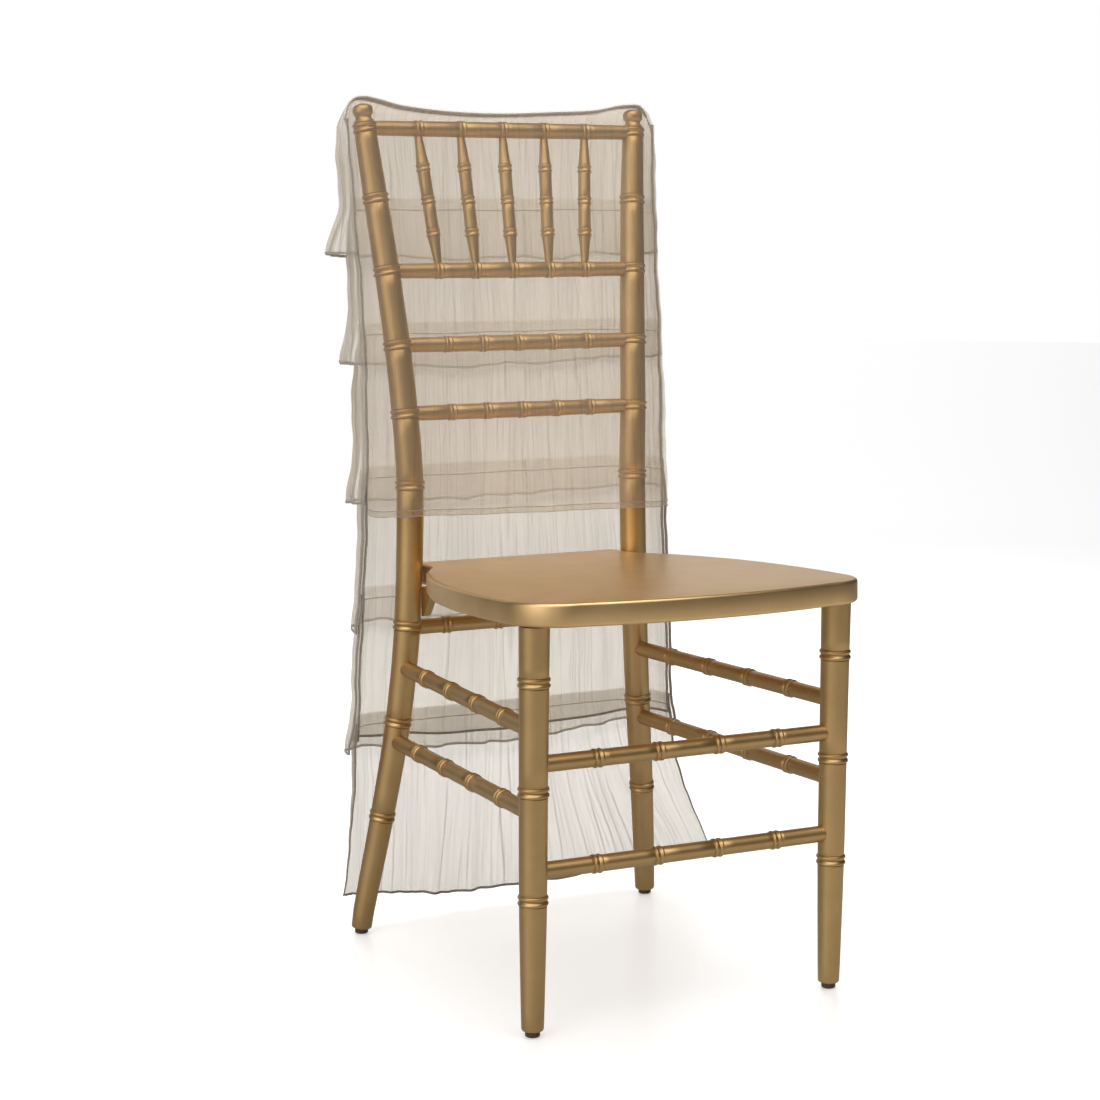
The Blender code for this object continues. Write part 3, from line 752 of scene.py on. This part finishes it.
# %% Sections of the cover
# Height, left seam x and y, right seam x and y, y of the flat back
SECTIONS = (
    (0.010, -0.1900, 0.2310, 0.2960, 0.2370, 0.2405),
    (0.060, -0.1900, 0.2200, 0.2740, 0.2270, 0.2380),
    (0.120, -0.1900, 0.2040, 0.2360, 0.2060, 0.2340),
    (0.180, -0.1925, 0.1860, 0.2080, 0.1860, 0.2315),
    (0.232, -0.1950, 0.1755, 0.1970, 0.1755, 0.2290),
    (0.300, -0.1935, 0.1730, 0.1945, 0.1730, 0.2260),
    (0.376, -0.1890, 0.1720, 0.1900, 0.1720, 0.2265),
    (0.440, -0.1860, 0.1705, 0.1865, 0.1705, 0.2295),
    (0.510, -0.1838, 0.1695, 0.1838, 0.1695, 0.2315),
    (0.590, -0.1830, 0.1710, 0.1830, 0.1710, 0.2325),
    (0.669, -0.1825, 0.1755, 0.1825, 0.1755, 0.2335),
    (0.740, -0.1835, 0.1850, 0.1835, 0.1850, 0.2345),
    (0.806, -0.1852, 0.1945, 0.1852, 0.1945, 0.2350),
    (0.860, -0.1868, 0.2010, 0.1868, 0.2010, 0.2355),
    (0.930, -0.1890, 0.2065, 0.1890, 0.2065, 0.2350),
)
RIDGE = (
    (-0.1890, 0.8960), (-0.1860, 0.9140), (-0.1770, 0.9250), (-0.1640, 0.9275), (-0.1480, 0.9250),
    (-0.1200, 0.9185), (-0.0600, 0.9130), (0.0000, 0.9120), (0.0700, 0.9150), (0.1200, 0.9180),
    (0.1480, 0.9234), (0.1640, 0.9250), (0.1770, 0.9238), (0.1860, 0.9125), (0.1890, 0.8960),
)
RIDGE_MIDDLE, RIDGE_Y, ROLL_DEPTH = 0.9120, 0.2135, 0.018
SEAM_HALF_GAP, SIDE_TURN, STRAIGHT_SHARE, FRONT_TURN = 0.0005, 0.040, 0.76, 0.022
# Before a post's plain front: its rings, a gap, and the depth of the crinkle
CLEAR_OF_POST = 0.0016 + 0.0020 + 0.0006
SEAM_WANDER, SEAM_PITCH = 0.0006, 0.095
FLAT_OF_ARC = 0.64


def column_of(heights, column):
    rows = np.array(SECTIONS)
    return np.interp(heights, rows[:, 0], rows[:, column])


def seam_wander(heights):
    """A sewn seam isn't dead straight: it wanders a millimetre or so on its way down."""
    slow = np.sin(heights * 2 * np.pi / SEAM_PITCH)
    quick = np.sin(heights * 5.3 * np.pi / SEAM_PITCH + 1)
    return SEAM_WANDER * (slow + 0.6 * quick)


def even_across(t):
    """Turns an even share along the cloth into a share u of the shape, with its tight sides."""
    size = np.abs(t)
    flat = size / FLAT_OF_ARC * STRAIGHT_SHARE
    turned = STRAIGHT_SHARE + (size - FLAT_OF_ARC) / (1 - FLAT_OF_ARC) * (1 - STRAIGHT_SHARE)
    return np.sign(t) * np.where(size < FLAT_OF_ARC, flat, turned)


def flat_back(u, heights):
    side = np.where(u > 0, 1.0, -1.0)
    edge_x = np.where(u > 0, column_of(heights, 3), column_of(heights, 1)) + side * seam_wander(heights)
    edge_y = np.where(u > 0, column_of(heights, 4), column_of(heights, 2))
    size = np.abs(u)
    angle = np.maximum(size - STRAIGHT_SHARE, 0) / (1 - STRAIGHT_SHARE) * np.pi / 2
    x = (edge_x - side * SIDE_TURN) * np.minimum(size / STRAIGHT_SHARE, 1) + side * SIDE_TURN * np.sin(angle)
    y = edge_y + (column_of(heights, 5) - edge_y) * np.cos(angle)
    return x, y, side * np.sin(angle), np.cos(angle)


ridge_rows = np.linspace(RIDGE[0][0], RIDGE[-1][0], 241)
ridge_heights = np.array([smooth_value(RIDGE, x, 1) for x in ridge_rows])


def ridge_at(u):
    x = flat_back(u, np.full_like(u, RIDGE_MIDDLE))[0]
    return np.interp(x, ridge_rows, ridge_heights)


def roll(depth):
    return np.sqrt(1 - (1 - np.clip(depth / ROLL_DEPTH, 0, 1)) ** 2)


def back_surface(u, heights, offset):
    x, y, out_x, out_y = flat_back(u, heights)
    turned = roll(ridge_at(u) - heights)
    y = np.where(np.abs(u) < 1, between(RIDGE_Y, y, turned), y)
    flat = np.sqrt(1 - turned ** 2)
    facing = np.stack([out_x * turned + out_x * flat, out_y * turned, np.sqrt(1 - out_x ** 2) * flat], -1)
    facing /= np.linalg.norm(facing, axis=-1, keepdims=True)
    return np.stack([x, y + SEAM_HALF_GAP, heights], -1) + facing * offset[..., None]


post_rows = np.linspace(POST_LINE[0][0], POST_LINE[-1][0], 200)
post_fronts = np.array([smooth_value(POST_LINE, z, 2) - smooth_value(POST_LINE, z, 3) for z in post_rows])


def front_surface(u, heights, offset):
    side = np.where(u > 0, 1.0, -1.0)
    edge_x = np.abs(np.where(u > 0, column_of(heights, 3), column_of(heights, 1))) + seam_wander(heights)
    edge_y = np.where(u > 0, column_of(heights, 4), column_of(heights, 2))
    front_y = np.interp(heights, post_rows, post_fronts) - CLEAR_OF_POST
    size = np.abs(u)
    angle = np.maximum(size - STRAIGHT_SHARE, 0) / (1 - STRAIGHT_SHARE) * np.pi / 2
    x = (edge_x - FRONT_TURN) * np.minimum(size / STRAIGHT_SHARE, 1) + FRONT_TURN * np.sin(angle)
    y = edge_y + (front_y - edge_y) * np.cos(angle)
    turned = roll(ridge_at(u) - heights)
    y = np.where(size < 1, between(RIDGE_Y, y, turned), y)
    x = np.where(size < 1, between(np.abs(flat_back(u, heights)[0]), x, turned), x)
    out = np.stack([side * np.sin(angle), -np.cos(angle), np.zeros_like(x)], -1)
    return np.stack([side * x, y - SEAM_HALF_GAP, heights], -1) + out * offset[..., None]


# %% [markdown]
# ## Crinkle, folds and gathers
#
# The crinkle is a permanent one: fine creases a few millimetres apart that run down the cloth
# and wander a little. Smooth noise, stretched tall, gives creases like these when its absolute
# value is taken, because that has a sharp line wherever the noise crosses zero.

# %% Crinkle
CRINKLE_DEPTH = 0.00035


def crinkle(across, down, seed):
    """A depth for each point, from its distances across and down the cloth in metres."""
    depth = np.empty(len(across))
    for i, (s, d) in enumerate(zip(across, down)):
        fine = abs(noise.noise(Vector((s / 0.0068, d / 0.32, seed))))
        broad = abs(noise.noise(Vector((s / 0.0190, d / 0.50, seed + 17.3))))
        depth[i] = 0.6 * fine + 0.5 * broad
    return CRINKLE_DEPTH * (depth - 0.2)


def drift(across, scale, seed):
    return np.array([noise.noise(Vector((s / scale, seed, 0.5))) for s in across])


# %% [markdown]
# ## Making a sheet
#
# A sheet starts as a grid primitive, whose UV map is the flat cloth. Its points are then laid
# on the cover's surface, and a Solidify modifier gives the cloth its half millimetre.

# %% Sheet builder
CLOTH_THICKNESS = 0.0005
# Half the cloth's width, measured round the back and one turned side
HALF_ARC = 0.2225
TIGHT_BENDS = 80


def hang_sheet(name, columns, rows, lay):
    """A grid laid by lay(t, v): t runs from -1 to 1 across and v from 0 at the top to 1 at the hem."""
    deselect()
    bpy.ops.mesh.primitive_grid_add(x_subdivisions=columns, y_subdivisions=rows, size=2)
    piece = bpy.context.object
    mesh = piece.data
    flat = np.empty(len(mesh.vertices) * 3)
    mesh.vertices.foreach_get("co", flat)
    flat = flat.reshape(-1, 3)
    places = lay(flat[:, 0], (1 - flat[:, 1]) / 2)
    places += np.array(middle)
    mesh.vertices.foreach_set("co", places.reshape(-1))
    mesh.update()
    solid = piece.modifiers.new("thickness", "SOLIDIFY")
    solid.thickness = CLOTH_THICKNESS
    solid.offset = 0.0
    return piece


def stitches_along(name, points):
    """A row of stitches: a round tube along a path, made a mesh."""
    data = bpy.data.curves.new(name, "CURVE")
    data.dimensions = "3D"
    data.bevel_depth = STITCH_RADIUS
    data.bevel_resolution = 1
    data.use_fill_caps = True
    tube = make_mesh(add_path(data, points), 0.00001)
    return finish(tube, name, STITCH_THREAD, angle=60)


# %% [markdown]
# ## Overlocked edges
#
# An overlock machine wraps the raw edge of the voile in thread, which shows as a darker rim.
# Each rim is a narrow strip laid on the same place as its sheet, but thicker, so it follows
# every fold and ripple of that edge.

# %% Serged edges
HEM_WIDTH, SIDE_WIDTH, SERGE_THICKNESS = 0.0027, 0.0034, 0.0013


def serged_band(name, lay, t_span, v_span, columns, rows):
    """The overlocked rim of a sheet: a thicker strip over a span of it across and down."""
    strip = lambda t, v: lay(between(*t_span, (t + 1) / 2), between(*v_span, v))
    band = hang_sheet(name, columns, rows, strip)
    band.modifiers["thickness"].thickness = SERGE_THICKNESS
    apply_modifiers(band)
    return finish(band, name, THREAD, angle=TIGHT_BENDS)


def serged_rims(name, lay, fall, edges):
    """Serged bands on the named edges of a sheet of this fall."""
    down, in_from_side = HEM_WIDTH / fall, SIDE_WIDTH / HALF_ARC
    spans = {
        "hem": ((-1, 1), (1 - down, 1), 380, 2),
        "ridge": ((-1, 1), (0, down), 300, 2),
        "left": ((-1, -1 + in_from_side), (0, 1), 2, 70),
        "right": ((1 - in_from_side, 1), (0, 1), 2, 70),
    }
    return [serged_band(f"serged_{edge}_{name}", lay, *spans[edge]) for edge in edges]


# %% [markdown]
# ## Back panel and front panel
#
# The two panels make the sleeve that slips over the chair's back. The back panel hangs from
# the ridge to just above the lowest flounce's middle. The front panel passes before the posts
# and ends above the seat in a narrow doubled hem, which is turned up behind it.

# %% Panels
FRONT_HEM = (0.4765, 0.4700)
BACK_HEM, BACK_HEM_LIFT = 0.2110, 0.0120
HEM_FOLD, FOLDED_BEHIND = 0.0065, 0.0009
STITCH_RADIUS = 0.0004
HELD_AT_TOP = 30
across_steps = np.linspace(-1, 1, 260)


def lay_back_panel(t, v):
    u = even_across(t)
    hem = BACK_HEM + BACK_HEM_LIFT * u * u + 0.003 * drift(t * HALF_ARC, 0.05, 4.0)
    heights = between(ridge_at(u), hem, v)
    depth = crinkle(t * HALF_ARC, heights, 2.0) * np.clip(v * HELD_AT_TOP, 0.1, 1)
    return back_surface(u, heights, depth * 0.6)


def lay_front_panel(t, v):
    u = even_across(t)
    top = ridge_at(u)
    hem = between(*FRONT_HEM, (u + 1) / 2) + 0.0012 * drift(t * HALF_ARC, 0.03, 9.0)
    fall = top - hem
    run = v * (fall + HEM_FOLD)
    down = np.minimum(run, fall)
    up = np.maximum(run - fall, 0)
    heights = top - down + up
    depth = crinkle(t * HALF_ARC, heights, 31.0) * np.clip(v * HELD_AT_TOP, 0.1, 1) * 0.5
    return front_surface(u, heights, depth - np.where(up > 0, FOLDED_BEHIND, 0.0))


def front_hem_line(height_above):
    """Points along the front panel, this high above its hem."""
    u = even_across(across_steps)
    fall = ridge_at(u) - between(*FRONT_HEM, (u + 1) / 2)
    run = (fall - height_above) / (fall + HEM_FOLD)
    return lay_front_panel(across_steps, run) + np.array(middle)


def hung_panel(node, lay, rows, cloth):
    panel = hang_sheet(node, 300, rows, lay)
    apply_modifiers(panel)
    return finish(panel, "crinkled_" + node, cloth, [node], TIGHT_BENDS)


BACK_CLOTH = sheer_cloth("crinkled_voile_back", CLOTH_COLOUR, 0.28, 2 * HALF_ARC, 0.71, 0.30)
FRONT_CLOTH = sheer_cloth("crinkled_voile_front", FRONT_SHADED_COLOUR, 0.15, 0.42, 0.45, 0.30)
back_panel = hung_panel("back_panel", lay_back_panel, 90, BACK_CLOTH)
front_panel = hung_panel("front_panel", lay_front_panel, 76, FRONT_CLOTH)
back_trim = serged_rims("back_panel", lay_back_panel, 0.70, ("ridge", "left", "right", "hem"))
front_trim = [
    stitches_along("upper_hem_stitches_front_panel", front_hem_line(HEM_FOLD)),
    stitches_along("lower_hem_stitches_front_panel", front_hem_line(STITCH_RADIUS)),
]
print("panels", [len(piece.data.polygons) for piece in (back_panel, front_panel)])

# %% [markdown]
# ## The six flounces
#
# Each flounce is a strip gathered along its top, sewn to the back panel under the one above
# and overlocked along its hem. Its heading stands a centimetre above the stitches. The sides
# of the first three are caught in the side seams, and the lowest three hang free there and
# are overlocked too. A flounce swings away from the panel towards its hem, in soft folds that
# open downwards.

# %% Flounces
# Height sewn, height of the hem, its rise at the sides, stand of the left edge, centre and right
# edge at the hem, how far the sides stand above the flare, folds across, where the folds start
FLOUNCES = (
    (None, 0.7500, 0.0080, 0.0270, 0.0150, 0.0050, 0.0085, 8, 0.4),
    (0.8060, 0.6290, 0.0110, 0.0170, 0.0140, 0.0055, 0.0050, 7, 1.9),
    (0.6690, 0.4800, 0.0090, 0.0125, 0.0140, 0.0085, 0.0050, 8, 3.1),
    (0.5100, 0.3440, 0.0050, 0.0080, 0.0130, 0.0070, 0.0045, 7, 4.6),
    (0.3760, 0.1930, 0.0170, 0.0100, 0.0140, 0.0080, 0.0045, 8, 0.9),
    (0.2320, 0.0180, 0.0210, 0.0040, 0.0090, 0.0040, 0.0030, 9, 2.3),
)
SEWN_OFFSET, FOLD_DEPTH, HEADING = 0.0018, 0.0032, 0.013
SIDE_FOLD_DEPTH, SIDE_FOLD_PITCH = 0.0032, 0.011
SEAMED_IN, BULGE_FROM = 1.0, 0.93
FLOUNCE_COVER, LOWEST_COVER, FIRST_FREE = 0.30, 0.36, 4
WANDER_DEPTH, WANDER_PITCH, RIPPLE_DEPTH, RIPPLE_PITCH = 0.0040, 0.045, 0.0013, 0.012
PUCKER_DEPTH, PUCKER_PITCH, PUCKER_REACH = 0.0011, 0.0055, 0.0125
GATHERED, STITCH_STAND = 1.15, 0.0009


def smooth_step(low, high, value):
    share = np.clip((value - low) / (high - low), 0, 1)
    return share * share * (3 - 2 * share)


def lay_flounce(row, seed, free_sides):
    sewn, hem_height, rise, left, centre, right, side_stand, folds, phase = row

    def lay(t, v):
        u = even_across(t)
        size = np.abs(u)
        across = t * HALF_ARC
        line = ridge_at(u) if sewn is None else np.full_like(u, sewn)
        top = line if sewn is None else line + HEADING
        wander = WANDER_DEPTH * drift(across, WANDER_PITCH, seed)
        ripple = RIPPLE_DEPTH * drift(across, RIPPLE_PITCH, seed + 5)
        hem = hem_height + rise * u * u + (wander + ripple)
        heights = between(top, hem, v)
        below = line - heights
        share = np.clip(below / (line - hem), 0, 1)
        in_middle = SEWN_OFFSET + (centre - SEWN_OFFSET) * share ** 1.3
        early = SEWN_OFFSET + (side_stand - SEWN_OFFSET) * smooth_step(0.0, 0.16, share)
        at_edge = early + (np.where(u < 0, left, right) - side_stand) * smooth_step(0.62, 1.0, share) ** 1.3
        stand = between(in_middle, at_edge, smooth_step(0.55, 0.92, size))
        waves = np.sin(folds * np.pi * u + phase) + 0.5 * np.sin(folds * 1.7 * np.pi * u + 2 * phase)
        fold = FOLD_DEPTH * waves * (1 - u ** 4) * share
        at_side = smooth_step(0.70, 0.85, size) * (1 - smooth_step(0.97, 1.0, size))
        side_waves = np.sin(2 * np.pi * np.abs(across) / SIDE_FOLD_PITCH + phase + 2 * heights / 0.3)
        fold += SIDE_FOLD_DEPTH * (0.8 + side_waves) * at_side * np.minimum(share * 3, 1)
        near_stitches = np.exp(-np.abs(below) / PUCKER_REACH)
        pucker = PUCKER_DEPTH * drift(across, PUCKER_PITCH, seed + 9) * near_stitches
        depth = crinkle(across * GATHERED, heights, seed) * np.clip(0.15 + share * 8, 0, 1)
        if free_sides:
            fold *= 1 - smooth_step(0.70, 0.85, size)
        else:
            stand = SEWN_OFFSET + (stand - SEWN_OFFSET) * (1 - smooth_step(BULGE_FROM, SEAMED_IN, size))
        return back_surface(u, heights, stand + fold + depth + (0 if sewn is None else pucker))

    return lay


def stitch_line(height):
    """The row of stitches that holds a flounce, on the front of the back panel."""
    u = even_across(across_steps)
    dip = 0.0012 * drift(across_steps * HALF_ARC, 0.05, height * 50)
    return back_surface(u, height + dip, np.full_like(u, -STITCH_STAND)) + np.array(middle)


for number, row in enumerate(FLOUNCES, 1):
    node, sewn = f"flounce_{number}", row[0]
    lowest = number == len(FLOUNCES)
    free_sides = number >= FIRST_FREE
    lay = lay_flounce(row, 40.0 + 7 * number, free_sides)
    fall = (sewn or RIDGE_MIDDLE) - row[1] + (HEADING if sewn else 0)
    colour, cover = (LOWEST_SHADED_COLOUR, LOWEST_COVER) if lowest else (CLOTH_COLOUR, FLOUNCE_COVER)
    cloth = sheer_cloth(f"crinkled_voile_{number}", colour, cover, 2 * HALF_ARC, fall, 0.40)
    flounce = hang_sheet(node, 380, 34, lay)
    apply_modifiers(flounce)
    finish(flounce, "crinkled_" + node, cloth, [node], TIGHT_BENDS)
    trim = serged_rims(node, lay, fall, ("hem", "left", "right") if free_sides else ("hem",))
    if sewn:
        trim.append(stitches_along(f"gathering_stitches_{number}", stitch_line(sewn)))
    print("flounce", number, "faces", len(flounce.data.polygons))

# %% [markdown]
# ## Floor and lamps
#
# The studio is plain: a pale floor, a soft key lamp from the left, a wide lamp above and a
# wash from behind, which glows through the cloth. The floor is lighter to the camera than to
# the chair, and for the camera it glows, a little paler further off. A painted pool of light
# on it before the chair, which glows only for mirrored rays, gives the gold paint something to mirror from
# below.

# %% Stage
FLOOR_SEEN, FLOOR_GLOW, FLOOR_LIT, FLOOR_SHINE = 0.95, 0.42, 0.24, 0.14
FAR_GLOW, POOL_PLACE, PAINTED_POOL_SHINE = 0.49, (0.9, -1.7, 0.0), 0.50
FLOOR_RADIUS, UNDER_FEET = 14.0, 0.0002


def build_stage():
    deselect()
    bpy.ops.mesh.primitive_circle_add(vertices=96, radius=FLOOR_RADIUS, fill_type="NGON",
                                      location=(0, 0, -UNDER_FEET))
    floor = bpy.context.object
    floor.name = "studio_floor"
    apply_place(floor)
    material, tree, output = new_material("pale_floor")
    link = tree.links.new
    ray = node_of(tree, "ShaderNodeLightPath", (-800, 0)).outputs
    seen, mirrored_ray = ray["Is Camera Ray"], ray["Is Glossy Ray"]
    tone = maths(tree, (-300, 150), "MULTIPLY_ADD", seen, FLOOR_SEEN - FLOOR_LIT, FLOOR_LIT)
    place = node_of(tree, "ShaderNodeTexCoord", (-1100, -350)).outputs["Object"]
    away = node_of(tree, "ShaderNodeVectorMath", (-1300, -150), operation="LENGTH")
    link(place, away.inputs[0])
    paler = fade_of(tree, (-1100, -150), away.outputs["Value"], 1.2, 4.5, FLOOR_GLOW, FAR_GLOW)
    seen_glow = maths(tree, (-500, -150), "MULTIPLY", seen, paler)
    reach = node_of(tree, "ShaderNodeVectorMath", (-900, -350), operation="DISTANCE")
    reach.inputs[1].default_value = POOL_PLACE
    link(place, reach.inputs[0])
    # Painted pool of light: before the chair the floor glows brighter, for mirrored rays only
    pool = fade_of(tree, (-700, -350), reach.outputs["Value"], 0.9, 2.5, PAINTED_POOL_SHINE, FLOOR_SHINE)
    glow = maths(tree, (-300, -150), "MULTIPLY_ADD", mirrored_ray, pool, seen_glow)
    shader = node_of(tree, "ShaderNodeBsdfPrincipled", (300, 0), Roughness=0.25)
    shader.inputs["Specular IOR Level"].default_value = 0.4
    shader.inputs["Emission Color"].default_value = (1, 1, 1, 1)
    link(tone, shader.inputs["Base Color"])
    link(glow, shader.inputs["Emission Strength"])
    link(shader.outputs["BSDF"], output.inputs["Surface"])
    floor.data.materials.append(material)


def area_lamp(name, place, aim, size, power):
    data = bpy.data.lights.new(name, "AREA")
    data.shape = "RECTANGLE"
    data.size, data.size_y = size
    data.energy = power
    lamp = bpy.data.objects.new(name, data)
    lamp.location = place
    lamp.rotation_euler = (Vector(aim) - Vector(place)).to_track_quat("-Z", "Y").to_euler()
    lamp.visible_camera = False
    bpy.context.scene.collection.objects.link(lamp)
    return lamp


build_stage()
area_lamp("key_left", (-3.0, -1.0, 1.5), (0, 0, 0.5), (2.4, 2.4), 24)
area_lamp("top", (-0.2, -0.7, 2.6), (0, 0, 0.5), (2.4, 2.0), 26)
backlight = area_lamp("back_wash", (0.6, 2.0, 2.0), (0, 0.2, 0.8), (2.0, 1.4), 40)
backlight.visible_glossy = False
print("a floor", 2 * FLOOR_RADIUS, "m across and three lamps")

# %% [markdown]
# ## The room that the gold mirrors
#
# Glossy paint shows what stands around it. The camera sees a plain white wall. Cloth and wood
# are lit by a soft light that comes mostly from behind. Only mirrored rays see three bright
# places, behind, on the left and above, and these draw the light stripes on each turned piece.

# %% Room
BEHIND = (Vector((0.457, 0.889, 0.0)), -0.2, 0.5, 0.32, 0.76)
# Direction, how near to it the brightness starts and is full, strength elsewhere and there
MIRRORED = (
    (Vector((0.188, 0.962, 0.195)), 0.76, 0.93, 0.04, 0.88),
    (Vector((-0.940, -0.342, 0.0)), 0.50, 0.85, 0.0, 0.64),
    (Vector((-0.220, -0.430, 0.876)), 0.66, 0.92, 0.0, 1.80),
)


def room_zone(tree, place, middle_way, starts, ends, dim, bright):
    """A background that is bright around one direction and dim elsewhere."""
    x, y = place
    way = node_of(tree, "ShaderNodeTexCoord", (x, y)).outputs["Generated"]
    toward = node_of(tree, "ShaderNodeVectorMath", (x + 200, y), operation="DOT_PRODUCT")
    toward.inputs[1].default_value = middle_way
    tree.links.new(way, toward.inputs[0])
    fade = fade_of(tree, (x + 400, y), toward.outputs["Value"], starts, ends, dim, bright)
    shade = node_of(tree, "ShaderNodeBackground", (x + 600, y))
    tree.links.new(fade, shade.inputs["Strength"])
    return shade.outputs["Background"]


world = bpy.data.worlds.new("studio")
bpy.context.scene.world = world
world.use_nodes = True
tree = world.node_tree
tree.nodes.clear()
link = tree.links.new
path = node_of(tree, "ShaderNodeLightPath", (-250, 500))
light = room_zone(tree, (-800, 0), *BEHIND)
shine = room_zone(tree, (-800, -300), *MIRRORED[0])
for row, zone in enumerate(MIRRORED[1:]):
    shine_sum = node_of(tree, "ShaderNodeAddShader", (0, -400 - 200 * row))
    link(shine, shine_sum.inputs[0])
    link(room_zone(tree, (-800, -600 - 300 * row), *zone), shine_sum.inputs[1])
    shine = shine_sum.outputs["Shader"]
backdrop = node_of(tree, "ShaderNodeBackground", (0, 300), Strength=1.0)
backdrop.inputs["Color"].default_value = (1, 1, 1, 1)
shiny = node_of(tree, "ShaderNodeMixShader", (250, 100))
seen = node_of(tree, "ShaderNodeMixShader", (450, 0))
output = node_of(tree, "ShaderNodeOutputWorld", (650, 0))
link(path.outputs["Is Glossy Ray"], shiny.inputs["Fac"])
link(light, shiny.inputs[1])
link(shine, shiny.inputs[2])
link(path.outputs["Is Camera Ray"], seen.inputs["Fac"])
link(shiny.outputs["Shader"], seen.inputs[1])
link(backdrop.outputs["Background"], seen.inputs[2])
link(seen.outputs["Shader"], output.inputs["Surface"])
print("one soft light and", len(MIRRORED), "bright places that only the gloss shows")

# %% [markdown]
# ## The camera
#
# The camera stands at the chair's front left, below the height of its back, and looks a little
# down through a long lens. Its place and turns were found from where the feet, rings, rails
# and seat of the chair lie in the photograph. A ray through the cover crosses many faces of
# cloth, so see-through surfaces are given many bounces and the others only a few.

# %% Camera
CAMERA_PLACE = Vector((-1.235487, -2.310619, 0.796121))
CAMERA_TURN, CAMERA_DIP = -0.474396, 0.13234
CAMERA_LENS, SENSOR_WIDTH = 81.37, 36
camera_data = bpy.data.cameras.new("camera")
camera_data.sensor_width = SENSOR_WIDTH
camera_data.lens = CAMERA_LENS
camera = bpy.data.objects.new("camera", camera_data)
camera.location = CAMERA_PLACE + middle
camera.rotation_euler = (math.pi / 2 - CAMERA_DIP, 0, CAMERA_TURN)
scene = bpy.context.scene
scene.collection.objects.link(camera)
bpy.context.scene.camera = camera
scene.view_settings.view_transform = "Standard"
scene.cycles.transparent_max_bounces = 40
scene.cycles.diffuse_bounces = 3
scene.cycles.transmission_bounces = 4
print("camera at", [round(value, 3) for value in camera.location])

# %% [markdown]
# ## The count of triangles
#
# The triangles of every piece are counted and printed.

# %% Count the triangles
print("triangles:", sum(len(p.vertices) - 2 for piece in PIECES for p in piece.data.polygons))
